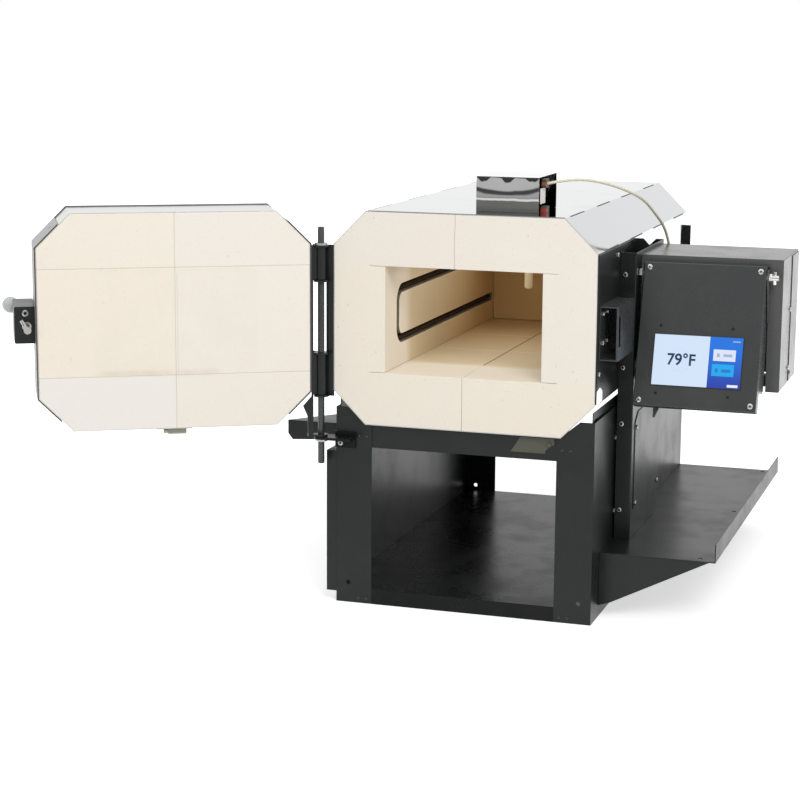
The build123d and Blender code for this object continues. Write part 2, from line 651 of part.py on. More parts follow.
HOOK_Y = FACE_Y + 16.0
KNOB_Y = BOX_Y0 - 28.0
hook_dx = sin(radians(LATCH_ANGLE))
hook_dz = cos(radians(LATCH_ANGLE))
hook = bar((LATCH_X, KNOB_Y - 5, LATCH_Z), (LATCH_X, HOOK_Y + 2.5, LATCH_Z), SHAFT_R)
hook += prism((LATCH_X, HOOK_Y - 3.5, LATCH_Z), (LATCH_X, HOOK_Y + 3.5, LATCH_Z), 5.2, 16)
hook_tip = (LATCH_X + HOOK_REACH * hook_dx, HOOK_Y, LATCH_Z + HOOK_REACH * hook_dz)
hook += prism((LATCH_X, HOOK_Y, LATCH_Z), hook_tip, HOOK_R, 12)
for y in (BOX_Y0 - 5.0, BOX_Y1 + 0.4):
    hook += prism((LATCH_X, y, LATCH_Z), (LATCH_X, y + 4.5, LATCH_Z), 6.5, 16)
hook += prism((LATCH_X, KNOB_Y - 6.5, LATCH_Z), (LATCH_X, KNOB_Y + 6.5, LATCH_Z), 7.5, 16)
knob_reach = 24.0
knob_dx = sin(radians(LATCH_ANGLE + 22))
knob_dz = cos(radians(LATCH_ANGLE + 22))
knob_at = (LATCH_X + knob_reach * knob_dx, KNOB_Y, LATCH_Z + knob_reach * knob_dz)
stem_reach = 15.0
STEM_R = 3.5
stem_end = (LATCH_X + stem_reach * knob_dx, KNOB_Y, LATCH_Z + stem_reach * knob_dz)
hook += prism((LATCH_X, KNOB_Y, LATCH_Z), stem_end, STEM_R, 12)
save("latch_hook", swing([hook]))

# The ball knob is turned about the stem's line, and drilled for the stem
stem_line = Plane(origin=knob_at, z_dir=(knob_dx, 0, knob_dz))
lifts = [radians(-72 + 24 * step) for step in range(7)]
knob = turned(stem_line, [(KNOB_R * sin(lift), KNOB_R * cos(lift)) for lift in lifts], 16)
knob -= prism((LATCH_X, KNOB_Y, LATCH_Z), stem_end, STEM_R, 12)
save("latch_knob", swing([knob]))

# Keeper on the right side cover: a folded bracket with a lip that the hook turns behind
KEEPER_X0 = COVER_X1 + SEAT_GAP / 2
KEEPER_X1 = LATCH_X + HOOK_REACH - 1.0
KEEPER_Y0 = FACE_Y + 10.0
KEEPER_Y1 = FACE_Y + 112.0
KEEPER_Z0 = LATCH_Z - 37.0
KEEPER_Z1 = LATCH_Z + 38.0
LIP = 3.0
keeper = block(KEEPER_X0, KEEPER_X1, KEEPER_Y0, KEEPER_Y1, KEEPER_Z0, KEEPER_Z1)
keeper -= block(
    KEEPER_X0 + SHEET, KEEPER_X1 - SHEET, KEEPER_Y0 - 1, KEEPER_Y1 + 1, KEEPER_Z0 + SHEET, KEEPER_Z1 - SHEET
)
keeper += block(KEEPER_X1 - LIP, KEEPER_X1, KEEPER_Y0, KEEPER_Y0 + SHEET, KEEPER_Z0, KEEPER_Z1)
keeper -= block(
    KEEPER_X1 - 2 * SHEET, KEEPER_X1 + 1, KEEPER_Y0 + 2.2, KEEPER_Y0 + 19, LATCH_Z - 18, LATCH_Z + 24
)
save("keeper", keeper)
keeper_bolts = []
for y in (FACE_Y + 26, FACE_Y + 52):
    for z in (LATCH_Z - 15, LATCH_Z + 27):
        x = KEEPER_X0 + SHEET + 0.05
        keeper_bolts.append(pan_head((x, y, z), (1, 0, 0), 4.5, 3.0))
save("keeper_bolts", keeper_bolts)

# Left wiring cover, small bracket and the tab under the mouth
LEFT_COVER_OUT = 15.5
left_x0 = -(HALF_W + LEFT_COVER_OUT)
left_x1 = -(HALF_W + SEAT_GAP)
wiring = block(left_x0, left_x1, STAND_Y0 + 1, STAND_Y1 - 40, 15, BODY_Z - 44)
wiring -= block(left_x0 + SHEET, left_x1 + 1, STAND_Y0 + 1 + SHEET, STAND_Y1 - 40 - SHEET, 15 + SHEET, BODY_Z - 44 - SHEET)
save("left_cover", wiring)

BRACKET_Y = FACE_Y + 51.0
BRACKET_RUN = 95.0
BRACKET_DROP = 36.0
BRACKET_STEP = 12.0
bracket_x0 = -(HALF_W + 91.0)
bracket = front_plate(
    [
        (bracket_x0, BODY_Z - BRACKET_STEP),
        (bracket_x0, BODY_Z - 32),
        (bracket_x0 + 7, BODY_Z - 41),
        (left_x1, BODY_Z - BRACKET_DROP),
        (left_x1, BODY_Z - BRACKET_STEP),
    ],
    BRACKET_Y,
    BRACKET_Y + SHEET,
)
bracket += flat_plate(
    [(bracket_x0, BRACKET_Y), (left_x1, BRACKET_Y), (left_x1, BRACKET_Y + BRACKET_RUN), (left_x1 - 14, BRACKET_Y + BRACKET_RUN)],
    BODY_Z - BRACKET_STEP - SHEET,
    BODY_Z - BRACKET_STEP,
)
bracket += block(left_x1 - SHEET, left_x1, BRACKET_Y, BRACKET_Y + BRACKET_RUN, BODY_Z - BRACKET_DROP, BODY_Z - BRACKET_STEP)
save("left_bracket", bracket)

TAB_X0 = 70.0
TAB_X1 = 133.0
tab_y = STAND_Y0 + SHEET + SEAT_GAP / 4
tab = front_plate(
    [
        (TAB_X0, BODY_Z - 26),
        (TAB_X1 - 13, BODY_Z - 26),
        (TAB_X1 - 13, BODY_Z - 22),
        (TAB_X1, BODY_Z - 12),
        (TAB_X1, BODY_Z - 4),
        (TAB_X0 + 14, BODY_Z - 4),
    ],
    tab_y - SHEET,
    tab_y,
)
tab += pan_head((TAB_X1 - 7, tab_y - SHEET, BODY_Z - 13), (0, -1, 0), 3.8, 3.0)
save("front_tab", tab)
cover_screws = [
    pan_head((FOOT_BOLT_X, foot_y1 - BRACKET_T - 0.05, FOOT_BOLT_Z), (0, -1, 0), 4.0, 2.4)
]

# Shelf on the right, with a folded lip and a gusset under each end
SHELF_X0 = HALF_W + SEAT_GAP
SHELF_X1 = HALF_W + SHELF_W
SHELF_Y0 = FACE_Y + SHELF_BACK
SHELF_Y1 = STAND_Y1
shelf = block(SHELF_X0, SHELF_X1, SHELF_Y0, SHELF_Y1, SHELF_Z - SHEET, SHELF_Z)
shelf += side_plate(
    [
        (SHELF_Y0 + 2, SHELF_Z - SHEET),
        (SHELF_Y0 + 2, SHELF_Z + SHELF_LIP),
        (SHELF_Y1 - 2, SHELF_Z + SHELF_LIP),
        (SHELF_Y1 - 2, SHELF_Z - SHEET),
    ],
    SHELF_X1 - SHEET,
    SHELF_X1,
)
shelf += block(SHELF_X0, SHELF_X0 + SHEET, SHELF_Y0 + SHELF_HEM, SHELF_Y1 - SHELF_HEM, SHELF_Z - SHELF_SKIRT, SHELF_Z)
SHELF_HOLE_R = 3.25
HOLE_X = SHELF_X1 - HOLE_IN
HOLE_PITCH = (SHELF_Y1 - SHELF_Y0) / 2 - HOLE_END
HOLE_MID_Y = (SHELF_Y0 + SHELF_Y1) / 2
for step in (-1, 0, 1):
    y = HOLE_MID_Y + step * HOLE_PITCH
    shelf -= bar((HOLE_X, y, SHELF_Z - 10), (HOLE_X, y, SHELF_Z + 10), SHELF_HOLE_R)
save("shelf", shelf)
gussets = []
for y in (SHELF_Y0 + 0.5, SHELF_Y1 - 0.5 - SHEET):
    top = SHELF_Z - SHEET - SEAT_GAP / 2
    outline = [
        (SHELF_X0, top),
        (SHELF_X1 - 9, top),
        (SHELF_X0 + 16, PAN_H),
        (SHELF_X0, PAN_H - 5),
    ]
    gusset = front_plate(outline, y, y + SHEET)
    back = GUSSET_FOLD if y < HOLE_MID_Y else -GUSSET_FOLD
    gusset += block(SHELF_X0, SHELF_X0 + SHEET, min(y, y + back), max(y + SHEET, y + back), PAN_H - 5, top)
    gussets.append(gusset)
save("shelf_gussets", gussets)

# Tower: a folded channel that stands on the shelf and carries the controls
TOWER_X0 = COVER_X1 + SEAT_GAP
TOWER_X1 = TOWER_X0 + TOWER_W
TOWER_Y0 = FACE_Y + TOWER_BACK
TOWER_Y1 = TOWER_Y0 + TOWER_DEPTH
TOWER_Z0 = SHELF_Z + SEAT_GAP / 2
TOWER_Z1 = BODY_TOP - TOWER_DROP
tower = block(TOWER_X0, TOWER_X1, TOWER_Y0, TOWER_Y1, TOWER_Z0, TOWER_Z1)
tower = fillet(tower.edges().filter_by(Axis.Z).group_by(Axis.X)[-1], 2.0)
tower -= block(
    TOWER_X0 - 1, TOWER_X1 - SHEET, TOWER_Y0 + SHEET, TOWER_Y1 - SHEET, TOWER_Z0 - 1, TOWER_Z1 + 1
)
# Return flanges: on the side cover above, and on spacers against the stand below
for y0, y1 in ((TOWER_Y0 + SHEET, TOWER_Y0 + 16), (TOWER_Y1 - 16, TOWER_Y1 - SHEET)):
    tower += block(TOWER_X0, TOWER_X0 + SHEET, y0, y1, TOWER_Z0, TOWER_Z1)
# The open top: a brace with a cut corner, and the same cut in the rear wall
CUT = 11.0
brace_y = FACE_Y + BRACE_BACK
tower += front_plate(
    [
        (TOWER_X0, TOWER_Z1 - 8),
        (TOWER_X0, COVER_HIGH),
        (TOWER_X1 - CUT, COVER_HIGH),
        (TOWER_X1 - SHEET / 2, TOWER_Z1),
        (TOWER_X1 - SHEET / 2, TOWER_Z1 - 8),
    ],
    brace_y,
    brace_y + SHEET,
)
tower -= front_plate(
    [
        (TOWER_X0 - 1, TOWER_Z1 - CUT - 1),
        (TOWER_X0 - 1, TOWER_Z1 + 1),
        (TOWER_X0 + CUT + 1, TOWER_Z1 + 1),
    ],
    TOWER_Y1 - 17,
    TOWER_Y1 + 1,
)
WINDOW_Z0 = TOWER_Z0 + 60
WINDOW_Z1 = TOWER_Z0 + 165
WINDOW_Y0 = TOWER_Y0 + 26
WINDOW_Y1 = TOWER_Y1 - 14
tower -= block(TOWER_X1 - 5, TOWER_X1 + 5, WINDOW_Y0, WINDOW_Y1, WINDOW_Z0, WINDOW_Z1)
save("tower", tower)
cover_x0 = TOWER_X1 + SEAT_GAP / 4
cover = side_plate(
    [
        (WINDOW_Y0 - 8, WINDOW_Z0 - 18),
        (WINDOW_Y0 - 8, WINDOW_Z1 + 6),
        (WINDOW_Y0 + 12, WINDOW_Z1 + 20),
        (WINDOW_Y1 + 8, WINDOW_Z1 + 20),
        (WINDOW_Y1 + 8, WINDOW_Z0 - 18),
    ],
    cover_x0,
    cover_x0 + 1.2,
)
save("tower_cover", cover)
tower_fixings = []
for y, z in ((WINDOW_Y0, WINDOW_Z1 - 2), (WINDOW_Y1 + 1, WINDOW_Z0 - 10), (WINDOW_Y0, WINDOW_Z0 - 10)):
    tower_fixings.append(pan_head((cover_x0 + 1.25, y, z), (1, 0, 0), 3.4, 2.2))
for z in (SHELF_Z + FIX_LOW, SHELF_Z + FIX_MID, MID_Z - FIX_UPPER, BODY_TOP - FIX_TOP):
    tower_fixings.append(
        pan_head((TOWER_X0 + 7, TOWER_Y0 - 0.05, z), (0, -1, 0), 4.0, 2.6)
    )

# Spacers carry the tower's flanges against the stand's side
for y in (TOWER_Y0 + 9, TOWER_Y1 - 9):
    for z in (SHELF_Z + SPACER_LOW, SHELF_Z + SPACER_HIGH):
        tower_fixings.append(prism((HALF_W + 0.05, y, z), (TOWER_X0 - 0.05, y, z), 5.0, 6))

# Control housing: open at the front, with two V-shaped ears for the tray's pivots
HOUSE_X0 = TOWER_X1 + SEAT_GAP / 2
HOUSE_X1 = HOUSE_X0 + HOUSING_W
HOUSE_Y0 = FACE_Y + HOUSING_BACK
HOUSE_Y1 = HOUSE_Y0 + HOUSING_DEPTH
HOUSE_Z1 = BODY_TOP - 64.0
HOUSE_Z0 = HOUSE_Z1 - HOUSING_H
housing = block(HOUSE_X0, HOUSE_X1, HOUSE_Y0, HOUSE_Y1, HOUSE_Z0, HOUSE_Z1)
housing = fillet(housing.edges().filter_by(Axis.Y).group_by(Axis.X)[-1], 2.0)
SPLIT_Y = HOUSE_Y0 + 88.0
housing -= block(HOUSE_X0 + SHEET, HOUSE_X1 - SHEET, HOUSE_Y0 + SHEET, HOUSE_Y1 + 1, HOUSE_Z0 + SHEET, HOUSE_Z1 - SHEET)
MOUTH_X1 = HOUSE_X1 - MOUTH_FLANGE
MOUTH_Z1 = HOUSE_Z1 - MOUTH_TOP
housing -= block(HOUSE_X0 + SHEET, MOUTH_X1, HOUSE_Y0 - 1, HOUSE_Y0 + 5, HOUSE_Z0 - 1, MOUTH_Z1)
housing -= block(HOUSE_X0 + SHEET, MOUTH_X1, HOUSE_Y0 - 1, HOUSE_Y0 + 45, HOUSE_Z0 - 1, HOUSE_Z0 + 5)

# Tray, drawn upright and then tilted about its two pivots
TRAY_X0 = HOUSE_X0 + TRAY_MARGIN
TRAY_X1 = TRAY_X0 + TRAY_W
TRAY_Y = HOUSE_Y0 - TRAY_FORWARD
TRAY_Z1 = HOUSE_Z1 - TRAY_LOWER
TRAY_Z0 = TRAY_Z1 - TRAY_H
PIVOT_Y = TRAY_Y + PIVOT_DEPTH
PIVOT_Z = TRAY_Z1 - PIVOT_DROP
ear_outline = [
    (HOUSE_Y0 + SHEET, MOUTH_Z1 - 2),
    (TRAY_Y + 2, MOUTH_Z1 - 2),
    (TRAY_Y + 2, PIVOT_Z - 10),
    (HOUSE_Y0 - 4, PIVOT_Z - EAR_DROP),
    (HOUSE_Y0 + SHEET, PIVOT_Z - EAR_DROP),
]
left_ear_x = TRAY_X0 - EAR_GAP - EAR_T
right_ear_x = TRAY_X1 + EAR_GAP
for x in (left_ear_x, right_ear_x):
    ear = side_plate(ear_outline, x, x + EAR_T)
    ear -= bar((x - 1, PIVOT_Y, PIVOT_Z), (x + EAR_T + 1, PIVOT_Y, PIVOT_Z), PIVOT_R + 0.06)
    housing += ear
housing += block(HOUSE_X0, left_ear_x + EAR_T, HOUSE_Y0, HOUSE_Y0 + SHEET, PIVOT_Z - EAR_DROP, HOUSE_Z1 - SHEET)
housing += block(right_ear_x, HOUSE_X1 - 1, HOUSE_Y0, HOUSE_Y0 + SHEET, HOUSE_Z0, HOUSE_Z1 - SHEET)
save("housing", housing)

shell = block(HOUSE_X1 + SEAT_GAP / 4, HOUSE_X1 + 1.2, SPLIT_Y, HOUSE_Y1 + SEAT_GAP, HOUSE_Z0 + 3, HOUSE_Z1 - 3)
shell += block(HOUSE_X0 + 1, HOUSE_X1 + 1.2, HOUSE_Y1 + SEAT_GAP, HOUSE_Y1 + 1.4, HOUSE_Z0 + 3, HOUSE_Z1 - 3)
GLAND_X = HOUSE_X1 - 46.0
GLAND_Z = HOUSE_Z0 + 34.0
LEAD_IN_X = HOUSE_X0 + 8.0
LEAD_IN_Z = HOUSE_Z1 - 74.0
shell -= bar((GLAND_X, HOUSE_Y1 - 5, GLAND_Z), (GLAND_X, HOUSE_Y1 + 5, GLAND_Z), 8.2)
shell -= bar((LEAD_IN_X, HOUSE_Y1 - 5, LEAD_IN_Z), (LEAD_IN_X, HOUSE_Y1 + 5, LEAD_IN_Z), 4.2)
save("housing_cover", shell)
housing_screws = []
for y, z in ((SPLIT_Y - 7, MID_Z + 8), (SPLIT_Y - 7, HOUSE_Z0 + 24), (SPLIT_Y + 9, HOUSE_Z0 + 14)):
    x = HOUSE_X1 + (1.25 if y > SPLIT_Y else 0.05)
    housing_screws.append(pan_head((x, y, z), (1, 0, 0), 3.4, 2.2))
for x in (HOUSE_X0 + 12, HOUSE_X1 - 10):
    for z in (HOUSE_Z0 + 12, HOUSE_Z1 - 12):
        housing_screws.append(pan_head((x, HOUSE_Y1 + 1.45, z), (0, 1, 0), 3.4, 2.2))
save("housing_screws", housing_screws)
gland = bar((GLAND_X, HOUSE_Y1 - 6, GLAND_Z), (GLAND_X, HOUSE_Y1 + 14, GLAND_Z), 8.0)
gland += prism((GLAND_X, HOUSE_Y1 + 1.5, GLAND_Z), (GLAND_X, HOUSE_Y1 + 8, GLAND_Z), 12.0, 6)
gland -= bar((GLAND_X, HOUSE_Y1 - 7, GLAND_Z), (GLAND_X, HOUSE_Y1 + 15, GLAND_Z), 4.5)
grommet = prism((LEAD_IN_X, HOUSE_Y1 - 2, LEAD_IN_Z), (LEAD_IN_X, HOUSE_Y1 + 4, LEAD_IN_Z), 4.0, 16)
grommet += prism((LEAD_IN_X, HOUSE_Y1 + 1.5, LEAD_IN_Z), (LEAD_IN_X, HOUSE_Y1 + 4, LEAD_IN_Z), 6.5, 16)
grommet -= prism((LEAD_IN_X, HOUSE_Y1 - 3, LEAD_IN_Z), (LEAD_IN_X, HOUSE_Y1 + 5, LEAD_IN_Z), LEAD_R + 0.3, 16)
save("inlet_gland", [gland, grommet])

# Inside the housing: two relays on its rear cover and a terminal strip on its floor
relays = []
relay_z = (HOUSE_Z0 + HOUSE_Z1) / 2 - RELAY_H / 2 + 16
for middle in (HOUSE_X0 + HOUSING_W * 0.31, HOUSE_X0 + HOUSING_W * 0.61):
    x0, x1 = middle - RELAY_W / 2, middle + RELAY_W / 2
    front = HOUSE_Y1 - RELAY_DEPTH
    relay = block(x0, x1, front, HOUSE_Y1, relay_z, relay_z + RELAY_H)
    for z in (relay_z + 6, relay_z + RELAY_H - 16):
        relay += block(x0 + 6, x1 - 6, front - 4, front, z, z + 10)
    relays.append(relay)
save("relays", relays)
strip_z = HOUSE_Z0 + SHEET
STRIP_WAYS = 6
STRIP_PITCH = 15.0
strip_x = (HOUSE_X0 + HOUSE_X1) / 2 - STRIP_WAYS * STRIP_PITCH / 2 - 24
strip = block(
    strip_x, strip_x + STRIP_WAYS * STRIP_PITCH + 4, SPLIT_Y - 10, SPLIT_Y + 14, strip_z, strip_z + 12
)
for step in range(STRIP_WAYS):
    x = strip_x + 4 + step * STRIP_PITCH
    strip += block(x, x + 9, SPLIT_Y - 10, SPLIT_Y + 14, strip_z + 12, strip_z + 18)
save("terminal_strip", strip)

tray = block(TRAY_X0, TRAY_X1, TRAY_Y, TRAY_Y + 20, TRAY_Z0, TRAY_Z1)
tray = chamfer(tray.edges().group_by(Axis.Y)[0], 1.0)
tray -= block(TRAY_X0 + SHEET, TRAY_X1 - SHEET, TRAY_Y + SHEET, TRAY_Y + 21, TRAY_Z0 + SHEET, TRAY_Z1 - SHEET)
for x in (TRAY_X0, TRAY_X1 - SHEET):
    tray += side_plate(
        [
            (TRAY_Y + 19, TRAY_Z1 - 6),
            (TRAY_Y + 45, TRAY_Z1 - 12),
            (TRAY_Y + 58, HOUSE_Z0 + 12),
            (TRAY_Y + 52, HOUSE_Z0 + 6),
            (TRAY_Y + 19, HOUSE_Z0 + 2),
        ],
        x,
        x + SHEET,
    )
    tray -= bar((x - 1, PIVOT_Y, PIVOT_Z), (x + SHEET + 1, PIVOT_Y, PIVOT_Z), PIVOT_R)
SCREEN_TOP = TRAY_Z1 - SCREEN_DROP
screen_x0 = (TRAY_X0 + TRAY_X1) / 2 - SCREEN_W / 2
tray -= block(
    screen_x0 + 5, screen_x0 + SCREEN_W - 5, TRAY_Y - 1, TRAY_Y + 5, SCREEN_TOP - SCREEN_H + 5, SCREEN_TOP - 5
)
tab_x = TRAY_X0 + 27.0
tray += front_plate(
    [(tab_x, TRAY_Z0 + 1), (tab_x + 9, TRAY_Z0 + 1), (tab_x + 3, TRAY_Z0 - 14), (tab_x, TRAY_Z0 - 14)],
    TRAY_Y + 16,
    TRAY_Y + 18,
)
TRAY_AXIS = Axis((0, PIVOT_Y, PIVOT_Z), (1, 0, 0))


def tilt(solids):
    """Turn upright tray pieces to the angle that the oven is drawn at."""
    return [s.rotate(TRAY_AXIS, -TRAY_TILT) for s in solids]


save("tray", tilt([tray]))
glass_y = TRAY_Y - SEAT_GAP / 4
glass = block(screen_x0, screen_x0 + SCREEN_W, glass_y - 1.6, glass_y, SCREEN_TOP - SCREEN_H, SCREEN_TOP)
save("screen", tilt([glass]))
board_y = TRAY_Y + SHEET + SEAT_GAP / 4
board = block(
    screen_x0 - BOARD_EDGE, screen_x0 + SCREEN_W + BOARD_EDGE, board_y, board_y + 8,
    SCREEN_TOP - SCREEN_H - BOARD_EDGE, SCREEN_TOP + BOARD_EDGE,
)
chip_x = screen_x0 + SCREEN_W / 4
chip_z = SCREEN_TOP - SCREEN_H / 2
board += block(chip_x - CHIP_W / 2, chip_x + CHIP_W / 2, board_y + 8, board_y + 16, chip_z - CHIP_H / 2, chip_z + CHIP_H / 2)
plug_x = screen_x0 + SCREEN_W * 0.7
board += block(plug_x - CHIP_W / 2, plug_x + CHIP_W / 2, board_y + 8, board_y + 14, chip_z - 6, chip_z + 6)
save("display_board", tilt([board]))
tray_screws = []
for x in (TRAY_X0 + 8, TRAY_X1 - 8):
    for z in (TRAY_Z1 - 8, TRAY_Z0 + 8):
        tray_screws.append(pan_head((x, TRAY_Y - 0.05, z), (0, -1, 0), 4.2, 2.2))
for x in (screen_x0 + 8, screen_x0 + SCREEN_W - 17):
    for z in (SCREEN_TOP + 12, SCREEN_TOP - SCREEN_H - 11):
        tray_screws.append(pan_head((x, TRAY_Y - 0.05, z), (0, -1, 0), 2.2, 1.0))
save("tray_screws", tilt(tray_screws))
pivots = []
for tip, head in ((TRAY_X0 + SHEET + 4, left_ear_x - 0.3), (TRAY_X1 - SHEET - 4, right_ear_x + EAR_T + 0.3)):
    out = -1 if head < tip else 1
    pin = bar((tip, PIVOT_Y, PIVOT_Z), (head + out * 3, PIVOT_Y, PIVOT_Z), PIVOT_R)
    pin += prism((head, PIVOT_Y, PIVOT_Z), (head + out * 4, PIVOT_Y, PIVOT_Z), 6.0, 6)
    nut = tip + out * 2.4
    pin += prism((nut - 1.2, PIVOT_Y, PIVOT_Z), (nut + 1.2, PIVOT_Y, PIVOT_Z), 5.5, 6)
    if out > 0:
        pin += prism((head + 4, PIVOT_Y, PIVOT_Z), (head + 13, PIVOT_Y, PIVOT_Z), 4.0, 12)
        pin += prism((head + 7, PIVOT_Y, PIVOT_Z - 9), (head + 7, PIVOT_Y, PIVOT_Z + 9), 2.6, 10)
    pivots.append(pin)
save("tray_pivots", pivots)

# Thermocouple: the probe, its cover box on the roof, the block, and the plugs
ROOF_TOP = BODY_TOP + JACKET_T
CAP_X1 = CAP_X + CAP_W
CAP_Y0 = FACE_Y + CAP_BACK
CAP_Y1 = CAP_Y0 + CAP_DEPTH
probe = bar((PROBE_X, PROBE_Y, ROOF_Z - 38), (PROBE_X, PROBE_Y, ROOF_TOP + 4), TUBE_R)
probe = chamfer(probe.edges().filter_by(GeomType.CIRCLE).sort_by(Axis.Z)[0], 2.0)
probe += prism((PROBE_X, PROBE_Y, ROOF_TOP + 0.2), (PROBE_X, PROBE_Y, ROOF_TOP + 12), 13.0, 16)
save("thermocouple", probe)
cap = block(CAP_X, CAP_X1, CAP_Y0, CAP_Y1, ROOF_TOP + 0.1, ROOF_TOP + CAP_H)
cap = fillet(cap.edges().group_by(Axis.Z)[-1].filter_by(Axis.X), 1.5)
cap -= block(
    CAP_X + 1, CAP_X1 + 1, CAP_Y0 + 1, CAP_Y1 - 1, ROOF_TOP - 1, ROOF_TOP + CAP_H - 1
)
save("thermocouple_box", cap)
BLOCK_Z0 = ROOF_TOP + 12.2
ceramic = block(PROBE_X - 18, CAP_X1 - 3, CAP_Y0 + 4, PROBE_Y + 14, BLOCK_Z0, BLOCK_Z0 + 22)
ceramic = chamfer(ceramic.edges().filter_by(Axis.X), 1.5)
for y in (CAP_Y0 + 16, CAP_Y0 + 38):
    ceramic -= block(PROBE_X - 2, CAP_X1 - 2, y - 5, y + 5, BLOCK_Z0 + 14, BLOCK_Z0 + 23)
save("terminal_block", ceramic)
PLUG_Y = CAP_Y0 + 24.0
PLUG_Z = ROOF_TOP + 42.0
lead_start = (98.0, PLUG_Y, PLUG_Z - 2)
plug_body = block(70, 99, PLUG_Y - 9, PLUG_Y + 9, BLOCK_Z0 + 22.1, PLUG_Z + 5)
plug_body = chamfer(plug_body.edges().filter_by(Axis.X), 1.5)
plug_body -= bar((94, PLUG_Y, PLUG_Z - 2), (130, PLUG_Y, PLUG_Z - 2), LEAD_R + 0.4)
spare = block(84, 101, PLUG_Y - 14, PLUG_Y + 6, ROOF_TOP + 0.1, ROOF_TOP + 9)
spare = chamfer(spare.edges().filter_by(Axis.Z), 1.5)
save("lead_plugs", [plug_body, spare])

# The lead runs from its plug over the roof's edge to the grommet behind the housing
LEAD_POINTS = [
    (117.0, 62.0, 619.0),
    (141.0, 78.0, 621.0),
    (163.0, 106.0, 616.0),
    (182.0, 140.0, 606.4),
    (197.7, 170.0, 595.7),
    (208.5, 205.0, 582.5),
    (215.3, 240.0, 563.4),
    (220.8, 272.0, 545.9),
    (223.0, 298.0, 529.1),
    (223.8, 322.0, 508.0),
    (224.2, 337.0, 480.0),
]
lead_turn = (LEAD_IN_X, 341.0, LEAD_IN_Z)
lead_end = (LEAD_IN_X, HOUSE_Y1 - 6.0, LEAD_IN_Z)


def unit(a, b):
    """The direction from one point to the next."""
    return (Vector(*b) - Vector(*a)).normalized()


def bend_radii(points):
    """The largest arc that the two runs at each inner point leave room for."""
    radii = []
    for before, here, after in zip(points, points[1:], points[2:]):
        turn = unit(before, here).get_angle(unit(here, after))
        run = min((Vector(*here) - Vector(*before)).length, (Vector(*after) - Vector(*here)).length)
        radii.append(0.45 * run / tan(radians(turn) / 2))
    return radii


route = [lead_start] + LEAD_POINTS + [lead_turn, lead_end]
radii = bend_radii(route)
print("lead radii", [round(r, 1) for r in radii])
lead_path = FilletPolyline(*route, radius=radii)
lead_section = Plane(origin=route[0], z_dir=unit(route[0], route[1])) * RegularPolygon(LEAD_R, 8)
lead = sweep(lead_section, path=lead_path)
print("lead length", round(lead_path.length, 1), "volume share", lead.volume / (pi * LEAD_R**2 * lead_path.length))
save("thermocouple_lead", lead)

# Screws of the rear cover and the side covers
for x, z in octagon(-9.0):
    cover_screws.append(
        pan_head((x, REAR_COVER_Y + SHEET + 0.05, z), (0, 1, 0), 3.4, 2.2)
    )
for y, z in ((FACE_Y + 12, COVER_LOW + 42), (FACE_Y + 118, COVER_HIGH - 12), (JACKET_Y1 - 20, COVER_LOW + 14)):
    cover_screws.append(pan_head((COVER_X1 + 0.05, y, z), (1, 0, 0), 3.6, 2.4))
for y in (FACE_Y + HINGE_BACK - 14, JACKET_Y1 - 20):
    for z in (COVER_LOW + 30, COVER_HIGH - 30):
        x = -(COVER_X + BRACKET_T) - 0.05 if y < FACE_Y + HINGE_BACK else -COVER_X1 - 0.05
        cover_screws.append(pan_head((x, y, z), (-1, 0, 0), 3.6, 2.4))
save("cover_screws", cover_screws)
save("tower_fixings", tower_fixings)
print(len(written), "nodes", sum(written.values()), "solids")
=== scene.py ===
# %% [markdown]
# # A bench heat treat oven
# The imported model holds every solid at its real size. This file gives each of them the finish
# of the real oven and adds the small things that a finish needs: rounded edges, brick pores,
# wound heating wire, screws with sockets and a lit screen. Everything is in metres, +X to the
# oven's right, +Y into the chamber, +Z up. The origin lies on the table, at the middle of the
# stand's front foot.

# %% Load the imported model
import json
import math

import bmesh
import bpy
from mathutils import Matrix, Vector


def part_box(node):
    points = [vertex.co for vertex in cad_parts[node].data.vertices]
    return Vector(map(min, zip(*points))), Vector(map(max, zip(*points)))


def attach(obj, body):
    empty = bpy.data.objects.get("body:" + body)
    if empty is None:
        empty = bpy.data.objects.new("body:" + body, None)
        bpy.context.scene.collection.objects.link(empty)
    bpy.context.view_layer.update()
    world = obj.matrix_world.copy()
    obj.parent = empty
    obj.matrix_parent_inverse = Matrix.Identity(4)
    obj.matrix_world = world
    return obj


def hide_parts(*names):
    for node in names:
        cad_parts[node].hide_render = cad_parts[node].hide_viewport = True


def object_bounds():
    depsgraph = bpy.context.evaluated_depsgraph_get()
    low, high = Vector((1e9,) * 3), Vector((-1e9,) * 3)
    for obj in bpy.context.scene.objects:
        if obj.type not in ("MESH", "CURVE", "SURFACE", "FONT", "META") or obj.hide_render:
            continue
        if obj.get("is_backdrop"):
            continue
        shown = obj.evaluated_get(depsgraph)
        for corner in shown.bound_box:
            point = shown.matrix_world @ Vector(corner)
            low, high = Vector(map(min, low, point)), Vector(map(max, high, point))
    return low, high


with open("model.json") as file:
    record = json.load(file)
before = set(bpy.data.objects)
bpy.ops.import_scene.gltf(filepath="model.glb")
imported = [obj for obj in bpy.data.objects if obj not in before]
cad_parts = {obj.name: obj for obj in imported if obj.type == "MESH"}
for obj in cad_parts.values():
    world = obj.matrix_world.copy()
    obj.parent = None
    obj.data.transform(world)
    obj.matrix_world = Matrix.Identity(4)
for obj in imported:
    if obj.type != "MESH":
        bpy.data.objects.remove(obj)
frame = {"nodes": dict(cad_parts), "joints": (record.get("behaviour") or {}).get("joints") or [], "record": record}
cad_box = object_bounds()
nodes = frame["nodes"]
joints = {joint["name"]: joint for joint in frame["joints"]}
bodies_of = frame["record"]["behaviour"]["bodies"]
node_body = {name: body for body, names in bodies_of.items() for name in names}
